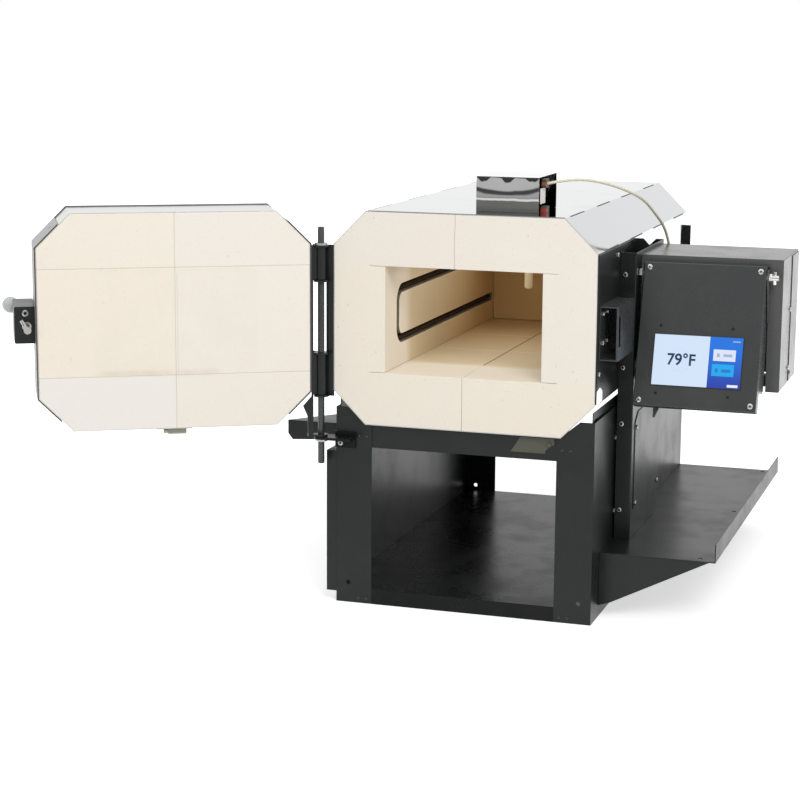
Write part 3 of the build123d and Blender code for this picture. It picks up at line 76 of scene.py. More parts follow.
slot_of = {part["node"]: part["material_slot"] for part in frame["record"]["subparts"]}
MM = 0.001
print("loaded", len(nodes), "nodes")

# %% [markdown]
# The camera was solved from the straight edges of the chamber, the stand and the door: where it
# stands, how it is turned, and how long its lens is. It is set first, because every later choice
# is compared with the photograph through it.

# %% Camera
VIEW_YAW = math.radians(18.129)
VIEW_PITCH = math.radians(10.624)
VIEW_ROLL = math.radians(0.358)
VIEW_PLACE = (0.8005, -2.7425, 0.8452)
LENS = 92.28
SENSOR = 36
FARTHEST = 50


def in_scene(name, data):
    """A new object that holds some data, linked to the scene."""
    item = bpy.data.objects.new(name, data)
    bpy.context.scene.collection.objects.link(item)
    return item


right = Vector((math.cos(VIEW_YAW), math.sin(VIEW_YAW), 0))
ahead = Vector(
    (
        -math.sin(VIEW_YAW) * math.cos(VIEW_PITCH),
        math.cos(VIEW_YAW) * math.cos(VIEW_PITCH),
        -math.sin(VIEW_PITCH),
    )
)
above = right.cross(ahead)
camera_x = right * math.cos(VIEW_ROLL) + above * math.sin(VIEW_ROLL)
camera_y = above * math.cos(VIEW_ROLL) - right * math.sin(VIEW_ROLL)
camera_data = bpy.data.cameras.new("camera")
camera_data.lens = LENS
camera_data.sensor_width = SENSOR
camera_data.clip_end = FARTHEST
camera = in_scene("camera", camera_data)
turned = Matrix((camera_x, camera_y, -ahead)).transposed().to_4x4()
camera.matrix_world = Matrix.Translation(VIEW_PLACE) @ turned
bpy.context.scene.camera = camera
print("camera lens", camera_data.lens, "mm")

# %% [markdown]
# The thermocouple's lead is a limp sleeve of woven glass fibre, 4 mm thick. It leaves its plug
# on the roof, runs in one loose arc over the jacket's sloping edge and drops behind the control
# housing, where it goes in through a grommet. One NURBS line with the same points as the
# solid's route gives that arc.

# %% Thermocouple lead
LEAD_RADIUS = 2.0 * MM
lead_points = [
    (98.0, 58.8, 614.6),
    (117.0, 62.0, 619.0),
    (141.0, 78.0, 621.0),
    (163.0, 106.0, 616.0),
    (182.0, 140.0, 606.4),
    (197.7, 170.0, 595.7),
    (208.5, 205.0, 582.5),
    (215.3, 240.0, 563.4),
    (220.8, 272.0, 545.9),
    (223.0, 298.0, 529.1),
    (223.8, 322.0, 508.0),
    (224.2, 337.0, 480.0),
    (224.3, 341.0, 435.8),
    (224.3, 302.8, 435.8),
]


def cord_curve(name, points_mm, radius):
    """One smooth tube along control points given in millimetres."""
    curve = bpy.data.curves.new(name, "CURVE")
    curve.dimensions = "3D"
    curve.bevel_depth = 1.0
    curve.bevel_resolution = 4
    curve.resolution_u = 10
    curve.use_fill_caps = True
    spline = curve.splines.new("NURBS")
    spline.points.add(len(points_mm) - 1)
    for point, place in zip(spline.points, points_mm):
        point.co = (place[0] * MM, place[1] * MM, place[2] * MM, 1)
        point.radius = radius
    spline.order_u = 3
    spline.use_endpoint_u = True
    return in_scene(name, curve)


lead = cord_curve("glass_fibre_lead", lead_points, LEAD_RADIUS)
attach(lead, "oven")
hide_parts("thermocouple_lead")
[v * MM for v in lead_points[0]]
print("lead points", len(lead_points))

# %% [markdown]
# A finish is a small net of nodes, and the same few knots come back in every one of them: a mix
# of two colours, a sum, a soft step, a noise that stays fixed to the oven. Each knot is a short
# function here, so that the finishes below read as sentences.

# %% Node helpers


def add(tree, kind, **values):
    """A node with some of its settings and input values given by name."""
    node = tree.nodes.new(kind)
    for key, value in values.items():
        if key in node.inputs:
            node.inputs[key].default_value = value
        else:
            setattr(node, key, value)
    return node


def feed(tree, value, socket):
    """Link a socket, or set a plain value, on one input."""
    if hasattr(value, "links"):
        tree.links.new(value, socket)
    else:
        socket.default_value = value


def blend_colours(tree, factor, first, second):
    """A colour mix whose factor and colours may be sockets or plain values."""
    mix = add(tree, "ShaderNodeMix", data_type="RGBA")
    for index, value in ((0, factor), (6, first), (7, second)):
        feed(tree, (*value, 1) if isinstance(value, tuple) else value, mix.inputs[index])
    return mix.outputs[2]


def maths(tree, operation, first, second=0.0):
    """One Math node on sockets or plain numbers."""
    node = add(tree, "ShaderNodeMath", operation=operation)
    feed(tree, first, node.inputs[0])
    feed(tree, second, node.inputs[1])
    return node.outputs[0]


def product(tree, first, *others):
    """Masks and numbers multiplied together, from left to right."""
    for other in others:
        first = maths(tree, "MULTIPLY", first, other)
    return first


def tint(tree, tone, mask, share, colour):
    """A tone drawn towards a colour by a share of a mask."""
    return blend_colours(tree, product(tree, mask, share), tone, colour)


def ramp(tree, value, low, high):
    """0 below low and 1 above high, with a smooth step between."""
    node = add(tree, "ShaderNodeMapRange", interpolation_type="SMOOTHSTEP")
    node.inputs["From Min"].default_value = low
    node.inputs["From Max"].default_value = high
    tree.links.new(value, node.inputs["Value"])
    return node.outputs["Result"]


def oven_place(tree):
    """A point's place in the oven's own metres."""
    return tree.nodes.new("ShaderNodeTexCoord").outputs["Object"]


def axes(tree):
    """The X, Y and Z of a point in the oven's own metres, as three sockets."""
    split = tree.nodes.new("ShaderNodeSeparateXYZ")
    tree.links.new(oven_place(tree), split.inputs[0])
    return split.outputs[0], split.outputs[1], split.outputs[2]


def noise_texture(tree, **values):
    """A noise texture that stays fixed to the oven."""
    texture = add(tree, "ShaderNodeTexNoise", **values)
    tree.links.new(oven_place(tree), texture.inputs["Vector"])
    return texture


print("node helpers ready")

# %% [markdown]
# Finishes share a few effects, so those are node groups: pores for the soft bricks, an orange
# peel for powder coat, and a rolled grain for sheet steel. Each group gives out values only, and
# each material keeps its own shader.

# %% Group helpers


def new_group(name, inputs, outputs):
    """A shader group with its two end nodes: inputs are (name, kind, value), outputs names."""
    group = bpy.data.node_groups.new(name, "ShaderNodeTree")
    for label, kind, value in inputs:
        socket = group.interface.new_socket(label, in_out="INPUT", socket_type=kind)
        socket.default_value = value
    for label in outputs:
        group.interface.new_socket(label, in_out="OUTPUT", socket_type="NodeSocketFloat")
    start = group.nodes.new("NodeGroupInput")
    end = group.nodes.new("NodeGroupOutput")
    return group, start.outputs, end.inputs


print("group helper ready")

# %% [markdown]
# Insulating firebrick is a soft foam of clay, cut with a saw. Seen close it is cream with fine
# darker pores and a few rust coloured specks, and its colour wanders slowly from place to place.
# Noise at four sizes gives all of that: fine pores, sparse specks, a slow drift and saw grit.

# %% Brick pore group
pores, start, end = new_group(
    "brick_pores",
    [("Scale", "NodeSocketFloat", 1.0), ("Strength", "NodeSocketFloat", 1.0)],
    ["Pores", "Specks", "Drift", "Grit"],
)
for label, base, detail, low, high in (
    ("Pores", 420.0, 4.0, 0.54, 0.72),
    ("Specks", 190.0, 2.0, 0.69, 0.78),
    ("Drift", 9.0, 2.0, 0.30, 0.70),
    ("Grit", 1400.0, 2.0, 0.35, 0.65),
):
    clay = noise_texture(pores, Detail=detail, Roughness=0.6)
    pores.links.new(product(pores, start["Scale"], base), clay.inputs["Scale"])
    mask = ramp(pores, clay.outputs["Fac"], low, high)
    pores.links.new(product(pores, mask, start["Strength"]), end[label])
print("group", pores.name, "with", len(pores.nodes), "nodes")

# %% [markdown]
# Powder coat is a melted skin, so it has a fine orange peel that breaks up its highlights. The
# same group serves the black stand and the charcoal controller, at different strengths. A soft
# cloud stands for dust, and the peaks of a distorted noise for small scuffs.

# %% Powder coat group
peel, start, end = new_group(
    "orange_peel", [("Scale", "NodeSocketFloat", 900.0)], ["Peel", "Dust", "Scuff"]
)
fine = noise_texture(peel, Detail=2.0, Roughness=0.5)
cloud = noise_texture(peel, Scale=14.0, Detail=5.0, Roughness=0.6)
scuff = noise_texture(peel, Scale=55.0, Detail=6.0, Roughness=0.75, Distortion=1.5)
peel.links.new(start["Scale"], fine.inputs["Scale"])
peel.links.new(fine.outputs["Fac"], end["Peel"])
peel.links.new(ramp(peel, cloud.outputs["Fac"], 0.40, 0.75), end["Dust"])
peel.links.new(ramp(peel, scuff.outputs["Fac"], 0.66, 0.74), end["Scuff"])
print("group", peel.name, "with", len(peel.nodes), "nodes")

# %% [markdown]
# Sheet steel is rolled, so its grain runs one way. A noise stretched along one axis gives fine
# lines, and a slow second noise gives the shallow waves that bend a mirror's reflections. A
# third gives the faint smears that a hand leaves on polished sheet.

# %% Sheet grain group
grain, start, end = new_group(
    "sheet_grain",
    [("Stretch", "NodeSocketVector", (1.0, 1.0, 1.0)), ("Waves", "NodeSocketFloat", 6.0)],
    ["Grain", "Wave", "Smear"],
)
scale = add(grain, "ShaderNodeVectorMath", operation="MULTIPLY")
grain.links.new(oven_place(grain), scale.inputs[0])
grain.links.new(start["Stretch"], scale.inputs[1])
lines = add(grain, "ShaderNodeTexNoise", Scale=60.0, Detail=5.0, Roughness=0.7)
grain.links.new(scale.outputs[0], lines.inputs["Vector"])
waves = noise_texture(grain, Detail=1.0, Roughness=0.4)
grain.links.new(start["Waves"], waves.inputs["Scale"])
smear = noise_texture(grain, Scale=11.0, Detail=6.0, Roughness=0.65)
grain.links.new(lines.outputs["Fac"], end["Grain"])
grain.links.new(waves.outputs["Fac"], end["Wave"])
grain.links.new(ramp(grain, smear.outputs["Fac"], 0.42, 0.72), end["Smear"])
print("group", grain.name, "with", len(grain.nodes), "nodes")

# %% [markdown]
# A material is the Principled shader with a few values set, plus whatever the groups feed into
# it. These helpers make the shader, place a group, and end a finish with its colour or its bump,
# so each finish below stays short.

# %% Material helpers


def principled(name, colour, roughness, metallic=0.0):
    """A new material, its node tree and its Principled shader."""
    material = bpy.data.materials.new(name)
    material.use_nodes = True
    tree = material.node_tree
    shader = tree.nodes["Principled BSDF"]
    shader.inputs["Base Color"].default_value = (*colour, 1)
    shader.inputs["Roughness"].default_value = roughness
    shader.inputs["Metallic"].default_value = metallic
    return material, tree, shader


def use_group(tree, group, **values):
    """The outputs of a group placed in a material, with some of its inputs set."""
    node = tree.nodes.new("ShaderNodeGroup")
    node.node_tree = group
    for key, value in values.items():
        node.inputs[key].default_value = value
    return node.outputs


def paint(tree, shader, tone):
    """Feed a tone to the shader's base colour."""
    tree.links.new(tone, shader.inputs["Base Color"])


def painted(material):
    """A finished material's tree, its shader, and the tone that feeds its base colour."""
    tree = material.node_tree
    shader = tree.nodes["Principled BSDF"]
    return tree, shader, shader.inputs["Base Color"].links[0].from_socket


def bump(tree, shader, height, distance, strength):
    """A Bump node from a height value to the shader's normal."""
    node = add(tree, "ShaderNodeBump", Strength=strength, Distance=distance)
    tree.links.new(height, node.inputs["Height"])
    tree.links.new(node.outputs["Normal"], shader.inputs["Normal"])


print("material helpers ready")

# %% [markdown]
# The chamber's bricks change with their place: behind the first ring they turn tan, darker to the
# back, which is partly the fired colour of the brick and partly painted shade of the deep chamber;
# they are painted black as shade in the grooves that hold the coils, and cemented along a
# wavering line on the front. Each of these is a mask from a point's own X, Y and Z, so it stays
# where it is when the view moves.

# %% Chamber masks
BORE_HALF = 114.6 * MM
FLOOR_Z = 344.9 * MM
ROOF_Z = 497.9 * MM
MOUTH_Y = -17 * MM
TAN_FROM, TAN_TO = 74 * MM, 108 * MM
DEEP_FROM, DEEP_TO = 0.12, 0.50
GROOVE_SIDE = (115.0 * MM, 137 * MM)
GROOVE_TALL = (368 * MM, 475 * MM)
GROOVE_RUN = (44 * MM, 560 * MM)
FRONT_SEAM = -12.4 * MM
SEAM_WAVER = 0.003
SEAM_EDGE = (0.4 * MM, 1.1 * MM)
ROOF_FRONT_Y = -18.4 * MM
ROOF_FOOT_Z = 498 * MM


def within(tree, value, low, high):
    """1 between two values and 0 elsewhere."""
    above_low = maths(tree, "GREATER_THAN", value, low)
    return product(tree, above_low, maths(tree, "LESS_THAN", value, high))


def inside_chamber(tree):
    """Three masks: on any chamber surface, tan behind the first ring, and darker towards the back; the last two
    are partly the brick's own colour and partly painted shade.
    """
    x, y, z = axes(tree)
    side = maths(tree, "LESS_THAN", maths(tree, "ABSOLUTE", x), BORE_HALF)
    tall = within(tree, z, FLOOR_Z, ROOF_Z)
    inner = product(tree, side, tall, maths(tree, "GREATER_THAN", y, MOUTH_Y))
    fired_and_shaded = product(tree, inner, ramp(tree, y, TAN_FROM, TAN_TO))
    deep_shade = product(tree, inner, ramp(tree, y, DEEP_FROM, DEEP_TO))
    return inner, fired_and_shaded, deep_shade


def groove_mask(tree):
    """1 inside the grooves that hold the heating coils."""
    x, y, z = axes(tree)
    side = within(tree, maths(tree, "ABSOLUTE", x), *GROOVE_SIDE)
    return product(tree, side, within(tree, z, *GROOVE_TALL), within(tree, y, *GROOVE_RUN))


def seam_mask(tree):
    """A thin wavering line on the roof brick's front, where its two blocks meet."""
    x, y, z = axes(tree)
    cloud = noise_texture(tree, Scale=30.0, Detail=2.0)
    waver = product(tree, maths(tree, "SUBTRACT", cloud.outputs["Fac"], 0.5), SEAM_WAVER)
    away = maths(tree, "SUBTRACT", maths(tree, "ADD", x, waver), FRONT_SEAM)
    line = ramp(tree, maths(tree, "ABSOLUTE", away), *SEAM_EDGE)
    front = maths(tree, "LESS_THAN", y, ROOF_FRONT_Y)
    upper = maths(tree, "GREATER_THAN", z, ROOF_FOOT_Z)
    return product(tree, maths(tree, "SUBTRACT", 1.0, line), front, upper)


print("chamber mouth", round(2 * BORE_HALF / MM, 1), "x", round((ROOF_Z - FLOOR_Z) / MM, 1), "mm")

# %% [markdown]
# Every brick comes from its own batch of clay, so one is a warm cream and the next a greyish
# white. Random Per Island gives each separate brick its own number, which picks its tone. Inside
# the chamber the brick turns tan behind the first ring and darker to the back: partly the colour
# of fired brick and partly painted shade of the deep chamber. The grooves are painted dark as shade.

# %% Firebrick
CREAM = (0.860, 0.785, 0.660)
PALE = (0.830, 0.790, 0.730)
WARM = (0.84, 0.76, 0.66)
# The next two tones are partly fired colour and partly painted shade inside the chamber; the third is painted
# shade in the coils' grooves.
FIRED_SHADED_TAN = (0.73, 0.61, 0.42)
DEEP_SHADE_TAN = (0.66, 0.45, 0.20)
GROOVE_SHADE = (0.16, 0.115, 0.07)
SEAM = (0.42, 0.36, 0.27)
PORE = (0.66, 0.54, 0.38)
RUST = (0.52, 0.34, 0.20)
CEMENT = (0.50, 0.47, 0.38)


def firebrick(name, strength, fired_and_shaded):
    """Cream brick: a tone for each brick, slow drift, fine pores and sparse rust specks."""
    material, tree, shader = principled(name, CREAM, 0.95)
    marks = use_group(tree, pores, Strength=strength)
    island = tree.nodes.new("ShaderNodeNewGeometry").outputs["Random Per Island"]
    if fired_and_shaded:
        inner, tan, deep_shade = inside_chamber(tree)
        island = product(tree, island, maths(tree, "SUBTRACT", 1.0, inner))
    tone = blend_colours(tree, island, CREAM, PALE)
    tone = tint(tree, tone, marks["Drift"], 0.25, WARM)
    if fired_and_shaded:
        # Tan behind the first ring, darker to the back: partly fired colour, partly painted shade.
        tone = blend_colours(tree, tan, tone, FIRED_SHADED_TAN)
        tone = blend_colours(tree, deep_shade, tone, DEEP_SHADE_TAN)
        # The coils' grooves are painted dark as shade.
        tone = tint(tree, tone, groove_mask(tree), 0.9, GROOVE_SHADE)
        tone = tint(tree, tone, seam_mask(tree), 0.5, SEAM)
    tone = tint(tree, tone, marks["Pores"], 0.26, PORE)
    paint(tree, shader, tint(tree, tone, marks["Specks"], 0.35, RUST))
    bump(tree, shader, maths(tree, "ADD", marks["Pores"], marks["Grit"]), 0.0003, 0.35)
    return material


brick = firebrick("firebrick", 1.0, True)
board = firebrick("fibre_board", 0.3, False)
cement = firebrick("joint_cement", 0.4, False)
tree, shader, tone = painted(cement)
paint(tree, shader, blend_colours(tree, 0.6, tone, CEMENT))
print("brick finishes", brick.name, board.name, cement.name)

# %% [markdown]
# The door hangs open and the controller's tray leans, while their marks are easier to place on
# the upright, closed part. Two matrices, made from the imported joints, lead from the closed or
# upright place to the one at rest.

# %% Door and tray at rest
DOOR_TURN = math.radians(-150.0)
TRAY_TURN = math.radians(-17.4)
HINGE = Vector(joints["door_swing"]["pos_m"])
HINGE.z = 0.0
PIVOT = Vector(joints["tray_tilt"]["pos_m"])


def turned_about(spot, angle, axis):
    """A turn about an axis through a spot."""
    back = Matrix.Translation(-spot)
    return Matrix.Translation(spot) @ Matrix.Rotation(angle, 4, axis) @ back


door_open = turned_about(HINGE, DOOR_TURN, "Z")
tray_tilted = turned_about(PIVOT, TRAY_TURN, "X")
print("hinge at", [round(v, 4) for v in HINGE], "tray pivot at", [round(v, 4) for v in PIVOT])

# %% [markdown]
# The door's bricks keep the print of the chamber's mouth: a faint rectangle where the mouth's
# rim presses, a little greyer inside, with a painted shadow line along its lower edge. The lower
# right brick is a paler one, and a thin grey stripe runs down the middle.

# %% Door brick
# Bands on the closed door, each as its middle, its half width and its softness
PRINT_WIDE = (0.0, 116 * MM, 3 * MM)
PRINT_TALL = (421.4 * MM, 78 * MM, 3 * MM)
LOW_SHADOW_LINE = (348.5 * MM, 4.0 * MM, 3.4 * MM)
LOW_SHADOW_REACH = (12 * MM, 96 * MM, 26 * MM)
MIDDLE_STRIPE = (-3.0 * MM, 0.9 * MM, 0.5 * MM)
UPPER_RIM = (492.0 * MM, 3.0 * MM, 2.0 * MM)
STRIPE_SPAN = (346 * MM, 488 * MM)
LOW_JOINT = 345.2 * MM


def door_axes(tree):
    """X and Z on the door as it is when closed, from a point of the open door."""
    x, y, z = axes(tree)
    part_x = product(tree, maths(tree, "SUBTRACT", x, HINGE.x), math.cos(DOOR_TURN))
    part_y = product(tree, maths(tree, "SUBTRACT", y, HINGE.y), math.sin(DOOR_TURN))
    return maths(tree, "ADD", maths(tree, "ADD", part_x, part_y), HINGE.x), z


def band_mask(tree, value, middle, half, soft):
    """1 within a distance of a middle value, with soft ends."""
    away = maths(tree, "ABSOLUTE", maths(tree, "SUBTRACT", value, middle))
    return maths(tree, "SUBTRACT", 1.0, ramp(tree, away, half - soft, half + soft))


def door_brick():
    """Firebrick with the mouth's faint print and a painted shadow line under it."""
    material = firebrick("door_firebrick", 0.8, False)
    tree, shader, tone = painted(material)
    x, z = door_axes(tree)
    wide = band_mask(tree, x, *PRINT_WIDE)
    tall = band_mask(tree, z, *PRINT_TALL)
    cloud = noise_texture(tree, Scale=16.0, Detail=4.0, Roughness=0.6)
    ragged = ramp(tree, cloud.outputs["Fac"], 0.35, 0.65)
    tone = tint(tree, tone, product(tree, wide, tall, ragged), 0.16, (0.74, 0.68, 0.60))
    low = maths(tree, "LESS_THAN", z, LOW_JOINT)
    corner_brick = product(tree, low, maths(tree, "GREATER_THAN", x, 0.0))
    tone = tint(tree, tone, corner_brick, 0.8, (0.83, 0.80, 0.76))
    # A painted shadow line along the print's lower edge.
    line = band_mask(tree, z, *LOW_SHADOW_LINE)
    low_shadow = product(tree, line, band_mask(tree, x, *LOW_SHADOW_REACH), ragged)
    tone = tint(tree, tone, low_shadow, 0.30, (0.56, 0.42, 0.28))
    stripe = band_mask(tree, x, *MIDDLE_STRIPE)
    stripe = product(tree, stripe, within(tree, z, *STRIPE_SPAN))
    tone = tint(tree, tone, stripe, 0.22, (0.50, 0.46, 0.38))
    press = product(tree, band_mask(tree, z, *UPPER_RIM), wide)
    paint(tree, shader, tint(tree, tone, press, 0.22, (0.80, 0.75, 0.62)))
    return material


door_clay = door_brick()
print("door finish", door_clay.name)

# %% [markdown]
# The stand is powder coated black and the controller charcoal. Both are the same kind of skin, so
# one function makes them all: the peel group breaks up the gloss, a trace of dust greys it, and on
# the pan, which lies in the stand's own shade, the reflection is set lower and the black is painted
# darker as shade.

# %% Powder coats
DUST = (0.30, 0.29, 0.27)
RUBBED = (0.34, 0.33, 0.31)


def powder(name, colour, roughness, dust, gloss):
    """Powder coat with an orange peel, a trace of dust and faint scuffs."""
    material, tree, shader = principled(name, colour, roughness)
    shader.inputs["Specular IOR Level"].default_value = gloss
    skin = use_group(tree, peel)
    tone = tint(tree, colour, skin["Dust"], dust, DUST)
    paint(tree, shader, tint(tree, tone, skin["Scuff"], dust * 1.2, RUBBED))
    spread = maths(tree, "ADD", product(tree, skin["Dust"], 0.10), roughness)
    tree.links.new(spread, shader.inputs["Roughness"])
    bump(tree, shader, skin["Peel"], 0.0002, 0.25)
    return material


black = powder("black_powder_coat", (0.011, 0.0125, 0.013), 0.30, 0.02, 0.36)
# A darker copy of the stand's black: painted shade for the pan, also used on the hinge foot.
shaded_black = powder("shaded_black_powder_coat", (0.008, 0.009, 0.009), 0.26, 0.02, 0.15)
housing_grey = powder("housing_powder_coat", (0.070, 0.071, 0.071), 0.24, 0.03, 0.62)
charcoal = powder("charcoal_powder_coat", (0.036, 0.040, 0.040), 0.26, 0.03, 0.6)
olive = powder("olive_grey_coat", (0.085, 0.083, 0.062), 0.5, 0.06, 0.4)
print("powder coats ready, darkest", shaded_black.name)

# %% [markdown]
# Bare steel differs by how it was rolled and what covers it: the jacket is polished sheet, the
# door's band is satin, screws are zinc plated and the heating wire has burnt dark. Each is the
# same metal shader with its own colour, gloss, stretch of grain and depth of waves.

# %% Steels


def steel(name, colour, roughness, stretch, waves, heights, smear=0.0):
    """Bare steel with its rolled grain, shallow waves and faint smears."""
    material, tree, shader = principled(name, colour, roughness, 1.0)
    marks = use_group(tree, grain, Stretch=stretch, Waves=waves)
    wave_height, grain_height = heights
    height = product(tree, marks["Grain"], grain_height)
    wave = product(tree, marks["Wave"], wave_height)
    bump(tree, shader, maths(tree, "ADD", height, wave), 0.001, 1.0)
    if smear:
        spread = maths(tree, "ADD", product(tree, marks["Smear"], smear), roughness)
        tree.links.new(spread, shader.inputs["Roughness"])
    return material


EVEN = (1, 1, 1)
ROLLED_UP = (1, 1, 12)
mirror_steel = steel(
    "polished_jacket", (0.62, 0.63, 0.64), 0.05, (1, 0.05, 1), 6.0, (0.25, 0.006), 0.12
)
satin = steel("satin_band", (0.78, 0.78, 0.77), 0.30, ROLLED_UP, 6.0, (0.3, 0.03), 0.1)
back_steel = steel("door_back", (0.44, 0.445, 0.44), 0.32, ROLLED_UP, 5.0, (0.3, 0.02), 0.1)
clamp_steel = steel(
    "dull_clamp_steel", (0.46, 0.45, 0.38), 0.40, (1, 1, 4), 40.0, (0.3, 0.03), 0.1
)
zinc = steel("zinc_plate", (0.58, 0.57, 0.55), 0.28, EVEN, 40.0, (0.1, 0.02), 0.1)
wire_alloy = steel("oxidised_heating_wire", (0.075, 0.060, 0.048), 0.5, EVEN, 90.0, (0.1, 0.02))
nickel = steel("nickel_plate", (0.86, 0.85, 0.83), 0.22, EVEN, 40.0, (0.1, 0.02), 0.1)
black_oxide = steel("black_oxide", (0.075, 0.075, 0.073), 0.36, EVEN, 40.0, (0.1, 0.02))
print("steels ready, wire", wire_alloy.name)

# %% [markdown]
# The door's side plates are dull sheet, seen grey along the door's edge. Their thin faces that
# look the same way as the bricks of the open door are nearly black in the photograph, so a mask
# from a face's own direction darkens those and leaves the others grey.
# That dark is painted shade.

# %% Side plates
PLATE_GREY = (0.42, 0.425, 0.42)
PLATE_SHADE = (0.065, 0.06, 0.045)
plate_steel, tree, shader = principled("side_plate", PLATE_GREY, 0.42)
bump(tree, shader, use_group(tree, peel)["Peel"], 0.0002, 0.2)
facing = add(tree, "ShaderNodeVectorMath", operation="DOT_PRODUCT")
facing.inputs[1].default_value = (0.5, -0.866, 0.0)
geometry = tree.nodes.new("ShaderNodeNewGeometry")
tree.links.new(geometry.outputs["True Normal"], facing.inputs[0])
# Thin faces that look the way the open door's bricks look are painted dark as shade.
front = ramp(tree, facing.outputs["Value"], 0.5, 0.7)
paint(tree, shader, blend_colours(tree, front, PLATE_GREY, PLATE_SHADE))
print("side plate finish", plate_steel.name)

# %% [markdown]
# The cover box is thin bright steel, bent by hand, so its faces mirror the dark lamp heads and
# table of a workshop as curved bands. Those things aren't in this scene, so a few plain bands are
# painted as their reflections: the table below, one lamp as a white line, and a dark bow above
# it. A dark rim along the top edge, reaching lower at even dents, is a painted reflection too, the
# top is painted pale as a reflection, and the ends carry a mottle of painted shade with pale spots
# of painted reflection. Their places and tones are a few rounded numbers that keep roughly to
# what the photograph shows there.

# %% Bright cover box
CAP_LOW = 574.6
CAP_HIGH = 623.8
CAP_MIDDLE = 46
CAP_REAR = 112
CEILING_TONE = 0.5
TABLE_TONE = 0.15
LAMP_TONE = 0.8
BOW_TONE = 0.05
TABLE_TOP = 0.3
LAMP_LINE = 0.36
BOW_HEIGHT = 0.54
BEND = 60.0
DENT_FIRST = 13.0
DENT_PITCH = 35.0
DENT_DEPTH = 0.12
EDGE_HEIGHT = 0.965
CAP_EDGE_REFLECTION = (0.03, 0.03, 0.027)
CAP_TOP_REFLECTION = (0.86, 0.86, 0.85)
MOTTLE_SHADE = (0.02, 0.02, 0.02)
MOTTLE_PALE = (0.62, 0.62, 0.60)


def grey(level):
    """A neutral colour."""
    return (level, level, level)


def banded_front(tree, x, z):
    """The painted reflection bands on the box's front, with a painted dark rim on its top edge that reaches lower
    at even dents.
    """
    height = maths(tree, "SUBTRACT", z, CAP_LOW * MM)
    height = maths(tree, "DIVIDE", height, (CAP_HIGH - CAP_LOW) * MM)
    middle = maths(tree, "ABSOLUTE", maths(tree, "SUBTRACT", x, CAP_MIDDLE * MM))
    bend = product(tree, middle, middle, BEND)
    ripple = noise_texture(tree, Scale=46.0, Detail=2.0, Roughness=0.5).outputs["Fac"]
    shift = product(tree, maths(tree, "SUBTRACT", ripple, 0.5), 0.07)
    height = maths(tree, "ADD", height, shift)
    upper = ramp(tree, height, 0.40, 0.60)
    curved = maths(tree, "SUBTRACT", height, product(tree, bend, upper))
    # The bands are painted reflections of the table, a lamp and a dark bow.
    below = maths(tree, "SUBTRACT", 1.0, ramp(tree, curved, TABLE_TOP, BOW_HEIGHT))
    table = (TABLE_TONE, TABLE_TONE, TABLE_TONE * 0.93)
    tone = blend_colours(tree, below, grey(CEILING_TONE), table)
    bow = band_mask(tree, curved, BOW_HEIGHT, 0.06, 0.03)
    tone = blend_colours(tree, bow, tone, grey(BOW_TONE))
    lamp_line = band_mask(tree, height, LAMP_LINE, 0.03, 0.02)
    tone = blend_colours(tree, lamp_line, tone, grey(LAMP_TONE))
    reach = EDGE_HEIGHT
    for index in range(3):
        dent = (DENT_FIRST + index * DENT_PITCH) * MM
        dark = band_mask(tree, x, dent, 7 * MM, 4 * MM)
        dark = product(tree, dark, maths(tree, "ADD", ripple, 0.4), DENT_DEPTH)
        reach = maths(tree, "SUBTRACT", reach, dark)
    # The dark rim on the top edge, lower at the dents, is a painted reflection.
    edge = ramp(tree, maths(tree, "SUBTRACT", height, reach), 0.0, 0.03)
    return blend_colours(tree, edge, tone, CAP_EDGE_REFLECTION)


def bright_box():
    """Bright bent sheet: a front of painted reflection bands, ends with a mottle of painted shade, and a top
    painted pale as a reflection.
    """
    material, tree, shader = principled("bright_cover_box", (0.85, 0.85, 0.85), 0.12, 0.3)
    x, y, z = axes(tree)
    tone = banded_front(tree, x, z)
    facing = tree.nodes.new("ShaderNodeSeparateXYZ")
    geometry = tree.nodes.new("ShaderNodeNewGeometry")
    tree.links.new(geometry.outputs["True Normal"], facing.inputs[0])
    mottle = noise_texture(tree, Scale=95.0, Detail=3.0, Roughness=0.6, Distortion=1.0)
    spots = ramp(tree, mottle.outputs["Fac"], 0.40, 0.60)
    # The ends' mottle is painted shade of the inside, with pale spots of painted reflection.
    end_tone = blend_colours(tree, spots, MOTTLE_SHADE, MOTTLE_PALE)
    rear = maths(tree, "GREATER_THAN", y, CAP_REAR * MM)
    end = maths(tree, "MAXIMUM", maths(tree, "GREATER_THAN", facing.outputs[0], 0.6), rear)
    tone = blend_colours(tree, end, tone, end_tone)
    # The upward faces are painted pale as a reflection.
    top = maths(tree, "GREATER_THAN", facing.outputs[2], 0.6)
    paint(tree, shader, blend_colours(tree, top, tone, CAP_TOP_REFLECTION))
    bump(tree, shader, use_group(tree, grain, Waves=26.0)["Wave"], 0.001, 0.35)
    return material


box_reflections = bright_box()
print("cover box finish", box_reflections.name)

# %% [markdown]
# The lead's sleeve is a woven braid of glass yarn. Two wave textures that climb it left and
# right, crossed with each other, give its diamond weave, and the gaps between the yarns are
# painted a darker olive as shade.

# %% Woven sleeve


